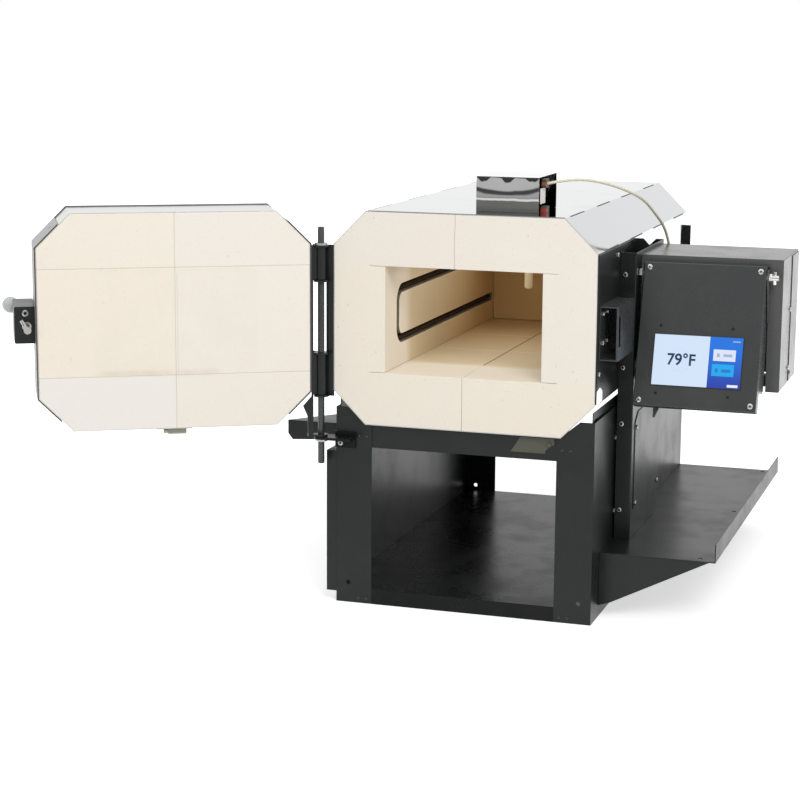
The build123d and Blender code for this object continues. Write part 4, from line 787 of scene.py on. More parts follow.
def woven_sleeve():
    """Pale glass yarn in a fine diamond weave."""
    material, tree, shader = principled("glass_fibre_sleeve", (0.80, 0.74, 0.58), 0.85)
    heights = []
    for turn in (0.7, -0.7):
        lay = add(tree, "ShaderNodeMapping", Rotation=(turn, turn * 0.5, turn))
        tree.links.new(oven_place(tree), lay.inputs["Vector"])
        wave = add(tree, "ShaderNodeTexWave", Scale=320.0, Distortion=0.4)
        tree.links.new(lay.outputs[0], wave.inputs["Vector"])
        heights.append(wave.outputs["Fac"])
    weave = maths(tree, "MAXIMUM", *heights)
    # The gaps between the yarns are painted darker as shade.
    paint(tree, shader, blend_colours(tree, weave, (0.42, 0.38, 0.27), (0.86, 0.80, 0.64)))
    bump(tree, shader, weave, 0.0003, 0.5)
    return material


sleeve = woven_sleeve()
lead.data.materials.append(sleeve)
print("lead finish", sleeve.name)

# %% [markdown]
# Moulded plastic and fired ceramic are smooth but never quite even, so a fine noise lifts their
# roughness and tone a little. One helper serves them all.

# %% Plastics and ceramics


def moulded(name, colour, roughness, variation=0.06, fine=240.0):
    """A moulded or glazed finish with slight variation of tone and gloss."""
    material, tree, shader = principled(name, colour, roughness)
    skin = noise_texture(tree, Scale=fine, Detail=3.0, Roughness=0.6).outputs["Fac"]
    mask = ramp(tree, skin, 0.35, 0.7)
    darker = tuple(c * (1 - 3 * variation) for c in colour)
    paint(tree, shader, tint(tree, colour, mask, 0.6, darker))
    gloss = maths(tree, "ADD", product(tree, mask, variation), roughness)
    tree.links.new(gloss, shader.inputs["Roughness"])
    bump(tree, shader, skin, 0.00005, 0.3)
    return material


tube_clay = moulded("probe_tube", (0.66, 0.53, 0.33), 0.8, 0.05, 500.0)
white_ceramic = moulded("white_ceramic", (0.85, 0.83, 0.78), 0.35)
black_plastic = moulded("black_plastic", (0.03, 0.03, 0.03), 0.45)
orange_plastic = moulded("orange_red_plastic", (0.62, 0.09, 0.03), 0.4)
plug_clay = moulded("plug_body", (0.34, 0.10, 0.035), 0.5)
seam_brown = moulded("scorched_seam", (0.16, 0.095, 0.04), 0.9)
green_board = moulded("circuit_board", (0.02, 0.13, 0.06), 0.4, 0.1, 700.0)
knob_grey = moulded("grey_ball_knob", (0.60, 0.61, 0.61), 0.22, 0.03)
# Socket wells are painted dark as shade; the tray's small studs are black in their own right.
socket_shade_and_stud_black = moulded("socket_shade_and_stud_black_plastic", (0.015, 0.015, 0.016), 0.8)
painted_dark_lines = moulded("slot_shadow", (0.16, 0.16, 0.16), 0.8)
print("materials", len(bpy.data.materials))

# %% [markdown]
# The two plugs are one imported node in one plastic. Masks by place leave its red only in two
# strips at the front, a deep one low down and a brighter one near the top; the rest is nearly
# black.

# %% Plug ends
LOWER_PLUG = 595 * MM
PLUG_TOP = 617.5 * MM
PLUG_REAR = (50 * MM, 56 * MM)
PLUG_JOINT = (597 * MM, 15.5 * MM, 2 * MM)
tree, shader, tone = painted(plug_clay)
_, y, z = axes(tree)
tone = blend_colours(tree, maths(tree, "LESS_THAN", z, LOWER_PLUG), tone, (0.30, 0.045, 0.035))
top = maths(tree, "GREATER_THAN", z, PLUG_TOP)
ends = maths(tree, "MAXIMUM", top, band_mask(tree, z, *PLUG_JOINT))
ends = maths(tree, "MAXIMUM", ramp(tree, y, *PLUG_REAR), ends)
paint(tree, shader, blend_colours(tree, ends, tone, (0.05, 0.045, 0.03)))
print("plug finish", plug_clay.name)

# %% [markdown]
# The record names a material slot for every node. One table gives each slot its finish, and a
# second gives the few nodes that differ from the rest of their slot, such as the pan, whose
# black is painted deeper than the stand's as shade.

# %% Finishes by material slot
finish_of = {
    "black_powder": black,
    "charcoal_powder": charcoal,
    "dark_trim": olive,
    "firebrick": brick,
    "board": board,
    "polished_steel": mirror_steel,
    "satin_steel": satin,
    "zinc": zinc,
    "black_oxide": black_oxide,
    "heating_alloy": wire_alloy,
    "white_ceramic": white_ceramic,
    "black_plastic": black_plastic,
    "plug_plastic": orange_plastic,
    "circuit_board": green_board,
    "knob_plastic": knob_grey,
    "screen_glass": black_plastic,
    "lead_sleeve": sleeve,
}
own_finish = {
    "base_pan": shaded_black,
    "door_back_plate": back_steel,
    "hinge_foot": shaded_black,
    "keeper": charcoal,
    "hinge_rod": charcoal,
    "housing": housing_grey,
    "housing_cover": housing_grey,
    "tray_pivots": nickel,
    "terminal_block": white_ceramic,
    "lead_plugs": plug_clay,
    "door_side_plates": plate_steel,
    "band_clamp": clamp_steel,
    "thermocouple": tube_clay,
    "door_bricks": door_clay,
}


def finish(name):
    """A node's own finish if it has one, or that of its material slot."""
    return own_finish.get(name, finish_of[slot_of[name]])


for name, node in nodes.items():
    node.data.materials.clear()
    node.data.materials.append(finish(name))
print("finishes", len(finish_of), "and of single nodes", len(own_finish))

# %% [markdown]
# Folded sheet and cut brick never have a knife edge. Bricks and folded sheets are copied, their
# flat faces are merged again, and a narrow bevel catches the light along every edge. Round forms
# were drawn with flat sides, so their copies are shaded smooth wherever two flats meet at a low
# angle. The thin jacket and the door's band stay as they were packed.

# %% Rounded copies of the solids
WELD = 0.00001
BEVEL_ABOVE = 35
BRICK_EDGE = 0.8 * MM
TRAY_EDGE = 0.9 * MM
SHEET_EDGE = 0.4 * MM
BRICK_FORMS = """roof_bricks floor_bricks left_wall_bricks right_wall_bricks rear_wall_brick
    door_bricks"""
SHEET_FORMS = """stand_left_side stand_right_side base_pan front_rail rear_rail
    right_side_cover left_side_cover latch_box tower tower_cover housing housing_cover shelf
    shelf_gussets left_cover left_bracket front_tab door_side_plates door_back_plate rear_cover
    terminal_block lead_plugs"""
ROUND_FORMS = "keeper hinge_plate door_leaf hinge_foot hinge_rod hinge_washers inlet_gland"
TURNED_FORMS = "latch_hook thermocouple tray_pivots band_clamp"


def merged_copy(name, material, flat_limit):
    """A copy of a solid in its place, with its flat faces merged into whole polygons."""
    mesh = nodes[name].data.copy()
    mesh.materials.clear()
    mesh.materials.append(material or finish(name))
    copy = in_scene("rounded_" + name, mesh)
    build = bmesh.new()
    build.from_mesh(mesh)
    bmesh.ops.remove_doubles(build, verts=build.verts, dist=WELD)
    limit = math.radians(flat_limit)
    bmesh.ops.dissolve_limit(build, angle_limit=limit, verts=build.verts, edges=build.edges)
    build.to_mesh(mesh)
    build.free()
    mesh.shade_smooth()
    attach(copy, node_body[name])
    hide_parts(name)
    return copy


def rounded_copy(name, width, material=None):
    """A merged copy with narrow rounded edges."""
    copy = merged_copy(name, material, 1.0)
    bevel = copy.modifiers.new("bevel", "BEVEL")
    bevel.width = width
    bevel.segments = 2
    bevel.limit_method = "ANGLE"
    bevel.angle_limit = math.radians(BEVEL_ABOVE)
    bevel.use_clamp_overlap = True
    level = copy.modifiers.new("flat_faces", "WEIGHTED_NORMAL")
    level.weight = 100
    level.keep_sharp = True
    return copy


def smooth_copy(name, angle, material=None):
    """A merged copy shaded round where its flats meet at less than an angle."""
    copy = merged_copy(name, material, 0.2)
    copy.data.set_sharp_from_angle(angle=math.radians(angle))
    return copy


rounded = [rounded_copy(name, BRICK_EDGE) for name in BRICK_FORMS.split()]
rounded.append(rounded_copy("tray", TRAY_EDGE))
rounded += [rounded_copy(name, SHEET_EDGE) for name in SHEET_FORMS.split()]
rounded += [smooth_copy(name, 30.0) for name in ROUND_FORMS.split()]
rounded += [smooth_copy(name, 35.0) for name in TURNED_FORMS.split()]
print("rounded", len(rounded), "solids")

# %% [markdown]
# Pieces with no solid of their own are built in mesh code. One helper makes a piece from a
# function that fills a bmesh. Three more fill it: with a profile turned about an axis, which is
# how a screw head or a rivet is made on a lathe, with a plain block, or with a wire.

# %% Mesh helpers


def make_piece(name, body, slot, materials, fill, sharp=35.0):
    """A mesh piece filled by a function, shaded smooth below an angle, riding on a body."""
    mesh = bpy.data.meshes.new(name)
    build = bmesh.new()
    fill(build)
    bmesh.ops.recalc_face_normals(build, faces=build.faces)
    build.to_mesh(mesh)
    build.free()
    for material in materials:
        mesh.materials.append(material)
    mesh.shade_smooth()
    mesh.set_sharp_from_angle(angle=math.radians(sharp))
    piece = in_scene(name, mesh)
    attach(piece, body)
    return piece


def ring_of(build, middle, first, second, radius, sides):
    """A ring of points about a middle, in the plane of two directions."""
    ring = []
    for step in range(sides):
        angle = 2 * math.pi * step / sides
        out = first * math.cos(angle) + second * math.sin(angle)
        ring.append(build.verts.new(middle + out * radius))
    return ring


def skin_rings(build, rings):
    """Faces between rings and over both ends, each with the number of its row."""
    sides = len(rings[0])
    faces = []
    for row, (low, high) in enumerate(zip(rings, rings[1:])):
        for step in range(sides):
            after = (step + 1) % sides
            face = build.faces.new((low[step], low[after], high[after], high[step]))
            faces.append((row, face))
    faces.append((0, build.faces.new(rings[0][::-1])))
    faces.append((len(rings), build.faces.new(rings[-1])))
    return faces


def turn(build, seat, axis, profile, sides=20, dark_from=math.inf):
    """Turn (height, radius) pairs about an axis; rows from dark_from on take material 1."""
    spin = Vector((0, 0, 1)).rotation_difference(Vector(axis)).to_matrix()
    first, second, up = spin.col
    rings = [
        ring_of(build, Vector(seat) + up * height, first, second, radius, sides)
        for height, radius in profile
    ]
    for row, face in skin_rings(build, rings):
        face.material_index = 1 if row >= dark_from else 0


def block_into(build, low, high, place=Matrix()):
    """A box between two corners in millimetres, moved by a matrix."""
    spots = [
        Vector((x * MM, y * MM, z * MM))
        for x in (low[0], high[0])
        for y in (low[1], high[1])
        for z in (low[2], high[2])
    ]
    verts = [build.verts.new(place @ spot) for spot in spots]
    for order in ((0, 1, 3, 2), (4, 6, 7, 5), (0, 4, 5, 1), (2, 3, 7, 6), (0, 2, 6, 4), (1, 5, 7, 3)):
        build.faces.new([verts[i] for i in order])


def tube_into(build, points, radius, sides):
    """A thin round wire along points, with a frame that doesn't twist."""
    ends = [points[0], *points, points[-1]]
    side = (points[1] - points[0]).normalized().orthogonal().normalized()
    rings = []
    for before, point, after in zip(ends, points, ends[2:]):
        run = (after - before).normalized()
        side = (side - run * side.dot(run)).normalized()
        rings.append(ring_of(build, point, side, run.cross(side), radius, sides))
    skin_rings(build, rings)


print("mesh helpers ready")

# %% [markdown]
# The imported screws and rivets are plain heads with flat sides. Each head's seat, direction and
# size are read from its own faces: the widest flat of a head is the one it sits on. Where two
# flats are equally wide, as on the tower's spacers, the one that faces the oven's middle is the
# seat, so the result is the same each time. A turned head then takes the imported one's place.

# %% Heads as packed
SAME_AREA = 0.99


def box_middle(spots):
    """The middle of the box round some points."""
    return [(min(s[i] for s in spots) + max(s[i] for s in spots)) / 2 for i in range(3)]


def all_corners(faces):
    """Every corner of a form's faces."""
    return [corner for _, _, corners in faces for corner in corners]


def islands(name):
    """The separate forms of a node, each as a list of its faces' (normal, area, corners)."""
    build = bmesh.new()
    build.from_mesh(nodes[name].data)
    bmesh.ops.remove_doubles(build, verts=build.verts, dist=WELD)
    todo = dict.fromkeys(build.faces)
    groups = []
    while todo:
        stack = [todo.popitem()[0]]
        group = []
        while stack:
            face = stack.pop()
            corners = [v.co.copy() for v in face.verts]
            group.append((face.normal.copy(), face.calc_area(), corners))
            for edge in face.edges:
                for other in edge.link_faces:
                    if other in todo:
                        del todo[other]
                        stack.append(other)
        groups.append(group)
    build.free()
    groups.sort(key=lambda faces: tuple(round(v, 4) for v in box_middle(all_corners(faces))))
    return groups


def head_of(faces):
    """Seat, outward axis, radius and height of a head from its faces."""
    totals = {}
    for normal, area, corners in faces:
        key = tuple(round(v, 2) for v in normal)
        totals.setdefault(key, [0.0, normal, []])
        totals[key][0] += area
        totals[key][2].extend(corners)
    widest = max(area for area, _, _ in totals.values())
    flats = [flat for flat in totals.values() if flat[0] > SAME_AREA * widest]
    _, normal, rim = min(flats, key=lambda flat: flat[1].x)
    axis = -normal
    seat = Vector(box_middle(rim))
    height = max((spot - seat).dot(axis) for spot in all_corners(faces))
    radius = max((spot - seat).length for spot in rim)
    return seat, axis, radius, height


print("stand rivets", len(islands("stand_rivets")))

# %% [markdown]
# Three heads are enough for the whole oven. The profile of each is a list of heights and radii,
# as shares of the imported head's own height and radius, so the same shape fits every size.

# %% Turned heads
RIVET_BELOW = 3.0 * MM
DARK_TRAY_BELOW = 2.6 * MM
HEAD_WIDEST = 0.013
HEAD_TALLEST = 0.008


def socket_head(build, seat, axis, radius, height, share=0.46):
    """A round head with a soft rim, whose socket is a round well painted dark as shade."""
    well = radius * share
    rim = [(0, 0.97), (0.35, 1), (0.75, 0.93), (0.96, 0.76)]
    profile = [(height * up, radius * out) for up, out in rim]
    profile += [
        (height, max(radius * 0.62, well * 1.2)),
        (height, well * 1.08),
        (height * 0.94, well),
        (height * 0.35, well * 0.96),
    ]
    turn(build, seat, axis, profile, 24, 6)


def flat_head(build, seat, axis, radius, height):
    """The tray's broad, flat screw head with its small well."""
    socket_head(build, seat, axis, radius, height, 0.27)


def dome_head(build, seat, axis, radius, height):
    """The low dome of a rivet."""
    steps = [(math.sin(math.radians(a)), math.cos(math.radians(a))) for a in (0, 20, 40, 60, 78)]
    turn(build, seat, axis, [(height * s, radius * c) for s, c in steps])


def dress_heads(name, material, shape, dark_below=0.0):
    """Replace a node's heads by turned ones; those narrower than dark_below are all dark."""
    count = 0

    def fill(build):
        nonlocal count
        for faces in islands(name):
            seat, axis, radius, height = head_of(faces)
            if radius > HEAD_WIDEST or height > HEAD_TALLEST:
                continue
            before = len(build.faces)
            form = shape if radius > RIVET_BELOW else dome_head
            form(build, seat, axis, radius, height)
            build.faces.ensure_lookup_table()
            if radius < dark_below:
                for face in build.faces[before:]:
                    face.material_index = 1
            count += 1

    finishes = [material, socket_shade_and_stud_black]
    piece = make_piece("heads_" + name, node_body[name], slot_of[name], finishes, fill)
    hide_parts(name)
    print(name, count, "heads")


dress_heads("tray_screws", nickel, flat_head, DARK_TRAY_BELOW)
for name in ("keeper_bolts", "cover_screws", "door_fasteners", "housing_screws"):
    dress_heads(name, zinc, socket_head)
dress_heads("stand_rivets", black_oxide, dome_head)

# %% [markdown]
# The thin spacers behind the tower share a node with its screws and are turned like them, since
# only their edges show. The latch's ball knob only needs more faces, which a subdivision gives,
# and the cover box gets its bright finish with its rounded edges.

# %% Tower fixings, knob and cover box


def fill_tower(build):
    """A turned head for every screw and spacer of the tower."""
    for faces in islands("tower_fixings"):
        socket_head(build, *head_of(faces))


tower_fix = make_piece("tower_fixing_set", "oven", "black_oxide", [zinc, socket_shade_and_stud_black], fill_tower)
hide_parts("tower_fixings")
knob = smooth_copy("latch_knob", 80.0)
rounder = knob.modifiers.new("rounder", "SUBSURF")
rounder.levels = rounder.render_levels = 2
rounded_copy("thermocouple_box", 0.5 * MM, box_reflections)
print("tower fixings", len(tower_fix.data.polygons), "faces")

# %% [markdown]
# Each heating element is a long coil of resistance wire laid in a groove of the side wall: two
# legs joined by a rounded turn near the mouth. A plain rod would show a smooth highlight, so the
# wire is really wound: a helix whose axis follows the groove.

# %% Heating coils
COIL_X = 123.0
LEG_LOW = 384.4
LEG_HIGH = 458.2
COIL_TURN_Y = 40.8
COIL_TURN_R = 20.0
COIL_END = 546.0
COIL_R = 4.1
WIRE_R = 0.9
COIL_PITCH = 3.1
STEPS_PER_TURN = 10
TAIL_Y = 535.0
TAIL_X = (157.0, 191.0)
TAIL_R = 1.9


def groove_line():
    """Points and headings along the middle of the groove, a tenth of a pitch apart."""
    step = COIL_PITCH / STEPS_PER_TURN
    quarter = math.pi / 2 * COIL_TURN_R
    corner_y = COIL_TURN_Y + COIL_TURN_R
    leg = COIL_END - COIL_TURN_Y - COIL_TURN_R
    rise = LEG_HIGH - LEG_LOW - 2 * COIL_TURN_R
    total = 2 * leg + 2 * quarter + rise
    for index in range(int(total / step)):
        s = index * step
        if s < leg:
            yield COIL_END - s, LEG_LOW, -1.0, 0.0
            continue
        s -= leg
        if s < quarter:
            a = s / COIL_TURN_R
            y = corner_y - COIL_TURN_R * math.sin(a)
            z = LEG_LOW + COIL_TURN_R - COIL_TURN_R * math.cos(a)
            yield y, z, -math.cos(a), math.sin(a)
            continue
        s -= quarter
        if s < rise:
            yield COIL_TURN_Y, LEG_LOW + COIL_TURN_R + s, 0.0, 1.0
            continue
        s -= rise
        if s < quarter:
            a = s / COIL_TURN_R
            y = corner_y - COIL_TURN_R * math.cos(a)
            z = LEG_HIGH - COIL_TURN_R + COIL_TURN_R * math.sin(a)
            yield y, z, math.sin(a), math.cos(a)
            continue
        s -= quarter
        yield corner_y + s, LEG_HIGH, 1.0, 0.0


def wound_element(side, hand):
    """One side wall's coil with its two straight tails."""

    def fill(build):
        spots = []
        for index, (y, z, run_y, run_z) in enumerate(groove_line()):
            angle = 2 * math.pi * index / STEPS_PER_TURN
            across = COIL_R * math.cos(angle)
            over = COIL_R * math.sin(angle)
            spot = (hand * COIL_X + across, y - over * run_z, z + over * run_y)
            spots.append(Vector(spot) * MM)
        tube_into(build, spots, WIRE_R * MM, 5)
        for z in (LEG_LOW, LEG_HIGH):
            tail = [Vector((hand * x, TAIL_Y, z)) * MM for x in (COIL_X, *TAIL_X)]
            tube_into(build, tail, TAIL_R * MM, 8)

    coil = make_piece("coil_" + side, "oven", "heating_alloy", [wire_alloy], fill, 80.0)
    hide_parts(side + "_element")
    return len(coil.data.vertices)


print("coil points", wound_element("left", -1), wound_element("right", 1))

# %% [markdown]
# The bricks are cemented. On the body's front the cement is flush, so only the upright joints and
# the first few centimetres beside the mouth show; on the door the joints are hair lines. Thin
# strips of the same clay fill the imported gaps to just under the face.

# %% Cement in the joints
FACE = -19.2
DOOR_FACE = -20.0
BODY_LOW = 269.0
BODY_TOP = 573.8
JOINT_ROWS = (345.2, 497.6)
MOUTH_CORNER = 137.0
OUTER = 190.2
STRIP = 3


def front_cement(build):
    """Flush strips beyond the mouth's corners."""
    near, half = FACE + 0.03, 0.95
    for z in JOINT_ROWS:
        for hand in (-1, 1):
            x0, x1 = sorted((hand * MOUTH_CORNER, hand * OUTER))
            block_into(build, (x0, near, z - half), (x1, FACE + STRIP, z + half))
    block_into(build, (-half, near, JOINT_ROWS[1] + 1), (half, FACE + STRIP, BODY_TOP - 1))


def door_cement(build):
    """Strips just under the face of the door's joints."""
    far, near, half = DOOR_FACE - STRIP, DOOR_FACE - 0.22, 0.9
    for z in JOINT_ROWS:
        block_into(build, (-OUTER, far, z - half), (OUTER, near, z + half), door_open)
    block_into(build, (-half, far, BODY_LOW + 1), (half, near, BODY_TOP - 1), door_open)


make_piece("front_cement", "oven", "firebrick", [brick], front_cement)
make_piece("door_cement", "door", "firebrick", [cement], door_cement)
print("joints filled at", JOINT_ROWS, "mm")

# %% [markdown]
# The jacket is one sheet folded over the chamber. The folds were helped by slots cut along each
# ridge, whose gaps are painted as short dark lines of shade, and its front edge is turned under,
# where a thin dark line is painted on the roof as the hem's reflection.

# %% Jacket slots and front hem
roof_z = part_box("jacket")[1][2] / MM
skin = roof_z - BODY_TOP
CORNER_CUT = 47.0
ROOF_HALF = 143.5
SIDE_HALF = 190.5
SLOT_LENGTH = 84.0
SLOT_PITCH = 166.0
SLOT_COUNT = 4
SLOT_HALF = 0.62
SLOT_SUNK = 0.5
SLOT_SPARE = 0.3
# Each ridge as its distance from the middle, its height, and where its first slot starts
ridges = (
    (ROOF_HALF + skin - skin * (2 - math.sqrt(2)), BODY_TOP + skin, 11.3),
    (SIDE_HALF + skin, BODY_TOP - CORNER_CUT + skin * (math.sqrt(2) - 1), 28.3),
)


def slot_lines(build):
    """Dark square bars that lie in the slots, a hair under the ridge: painted shade in the gaps."""
    for half, ridge_z, start in ridges:
        for hand in (-1, 1):
            x = hand * (half - SLOT_SUNK)
            z = ridge_z - SLOT_SUNK
            for step in range(SLOT_COUNT):
                y = start + step * SLOT_PITCH
                low = (x - SLOT_HALF, y + SLOT_SPARE, z - SLOT_HALF)
                high = (x + SLOT_HALF, y + SLOT_LENGTH - SLOT_SPARE, z + SLOT_HALF)
                block_into(build, low, high)


def roof_hem(build):
    """A narrow dark strip along the roof's front edge: the turned-under hem's painted dark reflection."""
    half = ROOF_HALF - 1
    block_into(build, (-half, FACE + 0.6, roof_z - 0.2), (half, FACE + 9.0, roof_z + 0.15))


# The slot bars are painted shade.
make_piece("jacket_slots", "oven", "dark_trim", [painted_dark_lines], slot_lines)
# The hem strip is a painted dark reflection.
make_piece("roof_hem", "oven", "dark_trim", [painted_dark_lines], roof_hem)
print("jacket skin", round(skin, 2), "mm")

# %% [markdown]
# Small trim finishes the body. A black strip along each side of the stand, under the jacket's
# lower slope, is painted shade there, bare jacket shows at the side cover's lower front corner, a
# white ceramic block closes the thermocouple's plugs, and the floor's long joint is scorched dark.

# %% Trim
BARE_CORNER = [(-17.0, 318.2), (-16.0, 336.5), (2.0, 340.0), (19.0, 333.0), (25.0, 318.2)]
floor_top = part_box("floor_bricks")[1][2] / MM


def side_shade_strips(build):
    """One upright black strip inside each side of the stand, just under the jacket's lower slope, painted shade
    there.
    """
    for hand in (-1, 1):
        x0, x1 = sorted((hand * 185.2, hand * 186.4))
        block_into(build, (x0, -4.0, 272.0), (x1, 636.0, 303.6))


def bare_corner(build):
    """The bare sheet at the side cover's lower front corner, a plate 0.35 mm thick."""
    near, far = (
        [build.verts.new(Vector((x, y, z)) * MM) for y, z in BARE_CORNER] for x in (192.95, 193.3)
    )
    build.faces.new(near[::-1])
    build.faces.new(far)
    for index in range(len(near)):
        after = (index + 1) % len(near)
        build.faces.new((near[index], near[after], far[after], far[index]))


def plug_block(build):
    """The thin white block that closes the plugs."""
    block_into(build, (92.5, 41.5, 587.0), (93.5, 69.0, 608.6))


def floor_seam(build):
    """A dark bar in the floor's long joint, a hair above the brick."""
    block_into(build, (-0.75, 92.0, floor_top - 2), (0.75, 551.0, floor_top + 0.05))


# The black strips under the jacket's lower slope are painted shade.
make_piece("side_shade_strips", "oven", "black_powder", [black], side_shade_strips)
make_piece("bare_corner", "oven", "polished_steel", [mirror_steel], bare_corner)
make_piece("plug_block", "oven", "white_ceramic", [white_ceramic], plug_block)
make_piece("floor_seam", "oven", "firebrick", [seam_brown], floor_seam)
print("trim ready, floor top", round(floor_top, 2))

# %% [markdown]
# The controller's screen is lit. Its panes are thin plates on the glass, each with its own
# emission at about the brightness that the photograph shows. The buttons carry no words, only
# plain bars and dots.

# %% Lit screen
GLOW = 0.96
# A pane that fades does so between these two heights, where the screen stands
FADE = (322 * MM, 392 * MM)


def lit(name, colour, low_colour=None):
    """A glowing pane, which may fade from one colour at its top to another below."""
    material, tree, shader = principled(name, (0.01, 0.01, 0.012), 0.35)
    shader.inputs["Emission Color"].default_value = (*colour, 1)
    shader.inputs["Emission Strength"].default_value = GLOW
    if low_colour:
        tone = blend_colours(tree, ramp(tree, axes(tree)[2], *FADE), low_colour, colour)
        tree.links.new(tone, shader.inputs["Emission Color"])
    return material


upright = [tray_tilted.inverted() @ v.co for v in nodes["screen"].data.vertices]
SCREEN_LEFT, SCREEN_FACE, SCREEN_FOOT = (min(spot[i] for spot in upright) / MM for i in range(3))
SCREEN_TOP = max(spot[2] for spot in upright) / MM
SCREEN_W = max(spot[0] for spot in upright) / MM - SCREEN_LEFT
SCREEN_H = SCREEN_TOP - SCREEN_FOOT


def screen_patch(name, across, down, lift, material):
    """A thin plate on the screen, placed by fractions of its width and height from top left."""

    def fill(build):
        x0, x1 = (SCREEN_LEFT + SCREEN_W * part for part in across)
        z1, z0 = (SCREEN_TOP - SCREEN_H * part for part in down)
        high = (x1, SCREEN_FACE + 0.02, z1)
        block_into(build, (x0, SCREEN_FACE - lift, z0), high, tray_tilted)

    make_piece(name, "controller_tray", "screen_glass", [material], fill)


rounded_copy("screen", 0.3 * MM)
pale = lit("pale_pane", (0.66, 0.79, 0.97))
blue = lit("blue_pane", (0.003, 0.17, 0.76), (0.012, 0.028, 0.37))
white_button = lit("white_button", (0.74, 0.80, 0.93))
sky_button = lit("sky_button", (0.0, 0.39, 0.88))
bright_bar = lit("bright_bar", (0.85, 0.88, 0.97))
navy = lit("navy_figures", (0.010, 0.030, 0.085))
faint = lit("faint_ring", (0.50, 0.64, 0.83))
shade = lit("button_shade", (0.36, 0.45, 0.68))
shade_blue = lit("blue_button_shade", (0.0, 0.20, 0.58))
for patch in (
    ("pane_left", (0.008, 0.626), (0.012, 0.988), 0.10, pale),
    ("pane_right", (0.626, 0.992), (0.012, 0.988), 0.10, blue),
    ("button_upper", (0.674, 0.921), (0.25, 0.47), 0.16, white_button),
    ("button_lower", (0.667, 0.913), (0.53, 0.76), 0.16, sky_button),
    ("button_upper_mark", (0.785, 0.885), (0.335, 0.385), 0.20, shade),
    ("button_lower_mark", (0.775, 0.875), (0.625, 0.685), 0.20, shade_blue),
    ("button_upper_dot", (0.715, 0.745), (0.325, 0.395), 0.20, shade),
    ("button_lower_dot", (0.705, 0.735), (0.615, 0.69), 0.20, shade_blue),
    ("bar_low", (0.85, 0.968), (0.915, 0.965), 0.16, bright_bar),
    ("bar_top", (0.88, 0.965), (0.075, 0.10), 0.16, shade),
):
    screen_patch(*patch)
print("screen", round(SCREEN_W, 1), "x", round(SCREEN_H, 1), "mm")

# %% [markdown]
# The temperature is plain text, turned into a mesh and fitted to its place on the pale pane. A
# faint ring of short dashes runs round it, broken at the top and bottom.

# %% Temperature figures
FIGURES_LEFT, FIGURES_WIDE = 0.165, 0.315
FIGURES_FOOT, FIGURES_TALL = 0.60, 0.245
RING_X, RING_Z = 0.315, 0.50
RING_RADIUS = 15.5
RING_DASHES = 40
RING_REACH = 9.5
DASH_HALF = 0.35


def figures():
    """The number as a mesh, scaled to the size it has on the screen."""
    text = bpy.data.curves.new("figures_text", "FONT")
    text.body = "79°F"
    text.resolution_u = 6
    text.offset = 0.022
    holder = in_scene("figures_text", text)
    bpy.context.view_layer.update()
    ready = holder.evaluated_get(bpy.context.evaluated_depsgraph_get())
    mesh = bpy.data.meshes.new_from_object(ready)
    bpy.data.objects.remove(holder)
    mesh.name = "temperature_figures"
    across = [v.co.x for v in mesh.vertices]
    upward = [v.co.y for v in mesh.vertices]
    low_x, wide = min(across), max(across) - min(across)
    low_y, tall = min(upward), max(upward) - min(upward)
    foot = SCREEN_TOP - FIGURES_FOOT * SCREEN_H
    for vertex in mesh.vertices:
        part_x = FIGURES_LEFT + (vertex.co.x - low_x) / wide * FIGURES_WIDE
        x = SCREEN_LEFT + part_x * SCREEN_W
        z = foot + (vertex.co.y - low_y) / tall * FIGURES_TALL * SCREEN_H
        vertex.co = tray_tilted @ (Vector((x, SCREEN_FACE - 0.22, z)) * MM)
    mesh.materials.clear()
    mesh.materials.append(navy)
    piece = in_scene("temperature_figures", mesh)
    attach(piece, "controller_tray")
    return len(mesh.vertices)


def ring_of_dots(build):
    """A faint ring round the number, in short dashes."""
    middle_x = SCREEN_LEFT + RING_X * SCREEN_W
    middle_z = SCREEN_TOP - RING_Z * SCREEN_H
    for step in range(RING_DASHES):
        angle = 2 * math.pi * step / RING_DASHES
        x = middle_x + RING_RADIUS * math.cos(angle)
        z = middle_z + RING_RADIUS * math.sin(angle)
        if abs(z - middle_z) >= RING_REACH:
            low = (x - DASH_HALF, SCREEN_FACE - 0.14, z - DASH_HALF)
            block_into(build, low, (x + DASH_HALF, SCREEN_FACE, z + DASH_HALF), tray_tilted)


print("figures", figures(), "points")
make_piece("screen_ring", "controller_tray", "screen_glass", [faint], ring_of_dots)

# %% [markdown]
# The room is a seamless white sweep. The floor is pale and keeps the oven's soft shadow; away
# from the oven it brightens to the white of the backdrop, so no horizon shows. What mirrors see
# of it is darker in front of the oven, as a dim room there would be, and white behind.

# %% Floor
REACH = 9.0
ROOM_SHADE = 0.22
FLOOR_GREY = 0.72
NEAR_LEVEL = 0.6
OVEN_MIDDLE = (0.05, 0.3, 0)
# Metres from the oven's middle over which the floor turns white, and the depth over which the
# mirrored floor does
FADE_OUT = (0.45, 1.5)
FADE_BACK = (-0.8, 0.2)


def mirrored_room(tree, behind):
    """The light path, and how bright glossy rays see the room: ROOM_SHADE in front, 1 behind."""
    level = maths(tree, "ADD", product(tree, behind, 1.0 - ROOM_SHADE), ROOM_SHADE)
    path = tree.nodes.new("ShaderNodeLightPath").outputs
    return path, product(tree, level, path["Is Glossy Ray"])


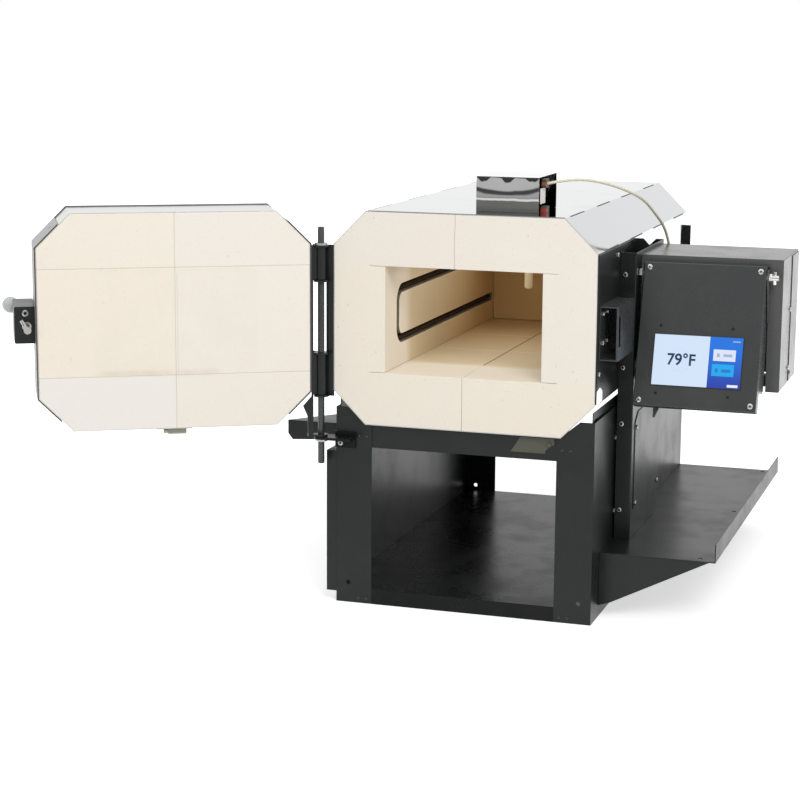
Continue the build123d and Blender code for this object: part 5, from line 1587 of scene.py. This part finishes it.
floor_mesh = bpy.data.meshes.new("floor")
corners = [(-REACH, -REACH, 0), (REACH, -REACH, 0), (REACH, REACH, 0), (-REACH, REACH, 0)]
floor_mesh.from_pydata(corners, [], [(0, 1, 2, 3)])
in_scene("floor", floor_mesh)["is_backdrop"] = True
floor_paint = bpy.data.materials.new("white_floor")
floor_paint.use_nodes = True
tree = floor_paint.node_tree
tree.nodes.clear()
out = tree.nodes.new("ShaderNodeOutputMaterial")
matt = add(tree, "ShaderNodeBsdfDiffuse", Color=(FLOOR_GREY, FLOOR_GREY, FLOOR_GREY, 1))
lift = add(tree, "ShaderNodeEmission", Color=(1, 1, 1, 1))
distance = add(tree, "ShaderNodeVectorMath", operation="DISTANCE")
distance.inputs[1].default_value = OVEN_MIDDLE
tree.links.new(oven_place(tree), distance.inputs[0])
fade = ramp(tree, distance.outputs["Value"], *FADE_OUT)
level = maths(tree, "ADD", product(tree, fade, 1.0 - NEAR_LEVEL), NEAR_LEVEL)
path, mirrored = mirrored_room(tree, ramp(tree, axes(tree)[1], *FADE_BACK))
seen = maths(tree, "MAXIMUM", path["Is Camera Ray"], mirrored)
tree.links.new(product(tree, seen, level), lift.inputs["Strength"])
both = tree.nodes.new("ShaderNodeAddShader")
tree.links.new(matt.outputs[0], both.inputs[0])
tree.links.new(lift.outputs[0], both.inputs[1])
tree.links.new(both.outputs[0], out.inputs["Surface"])
floor_mesh.materials.append(floor_paint)
print("floor", 2 * REACH, "m wide")

# %% [markdown]
# The world is white for the camera and for what is seen through glass, plain grey light for the
# bricks and coats, and for mirrors the same dim front and white rear as the floor. The lean of a
# mirrored ray, upwards and to the rear, decides between the two.

# %% World
WORLD_LIGHT = 0.55
UPWARD = 1.6
LEAN_SPAN = (-0.45, 0.35)
world = bpy.data.worlds.new("studio")
bpy.context.scene.world = world
world.use_nodes = True
tree = world.node_tree
background = tree.nodes["Background"]
background.inputs["Color"].default_value = (1, 1, 1, 1)
_, way_y, way_z = axes(tree)
lean = maths(tree, "ADD", way_y, product(tree, way_z, UPWARD))
path, mirrored = mirrored_room(tree, ramp(tree, lean, *LEAN_SPAN))
white = maths(tree, "MAXIMUM", path["Is Camera Ray"], path["Is Transmission Ray"])
diffuse = product(tree, path["Is Diffuse Ray"], WORLD_LIGHT)
level = maths(tree, "MAXIMUM", maths(tree, "MAXIMUM", white, mirrored), diffuse)
tree.links.new(level, background.inputs["Strength"])
print("world light", WORLD_LIGHT)

# %% [markdown]
# Lamps are large and soft, and stay at a plain level. Light that falls into the deep white
# chamber bounces many times, more often than the renderer follows, so a very weak lamp under the
# roof, which the camera doesn't see, makes up for it.

# %% Lamps


def lamp(name, place, target, size, watts):
    """A large soft square lamp that faces a point; gloss mirrors the room and not the lamp."""
    data = bpy.data.lights.new(name, "AREA")
    data.shape = "SQUARE"
    data.size = size
    data.energy = watts
    body = in_scene(name, data)
    body.location = place
    body.rotation_euler = (Vector(target) - Vector(place)).to_track_quat("-Z", "Y").to_euler()
    body.visible_glossy = False
    return body


lamp("key_lamp", (1.7, -2.6, 2.9), (0, 0, 0.40), 1.6, 66)
lamp("front_lamp", (-0.9, -3.5, 1.2), (0, 0, 0.42), 1.3, 14.5)
lamp("fill_lamp", (2.8, -1.6, 1.2), (0.1, 0.1, 0.3), 1.6, 6)
lamp("top_lamp", (0.2, 0.6, 3.2), (0, 0.2, 0.3), 2.4, 24)
chamber_lamp = lamp("chamber_lamp", (0.0, 0.23, 0.493), (0.0, 0.2301, 0.3), 0.2, 0.20)
chamber_lamp.data.color = (0.94, 0.975, 1.0)
chamber_lamp.data.shape = "RECTANGLE"
chamber_lamp.data.size_y = 0.40
chamber_lamp.visible_camera = False
bpy.context.scene.view_settings.view_transform = "Standard"
print("lamps", len(bpy.data.lights))

# %% [markdown]
# Last, the imported box and the dressed box are both measured, and the dressed one is printed.

# %% Finish
boxes = [[list(corner) for corner in bounds] for bounds in (cad_box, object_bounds())]
print("visual box", boxes[1])
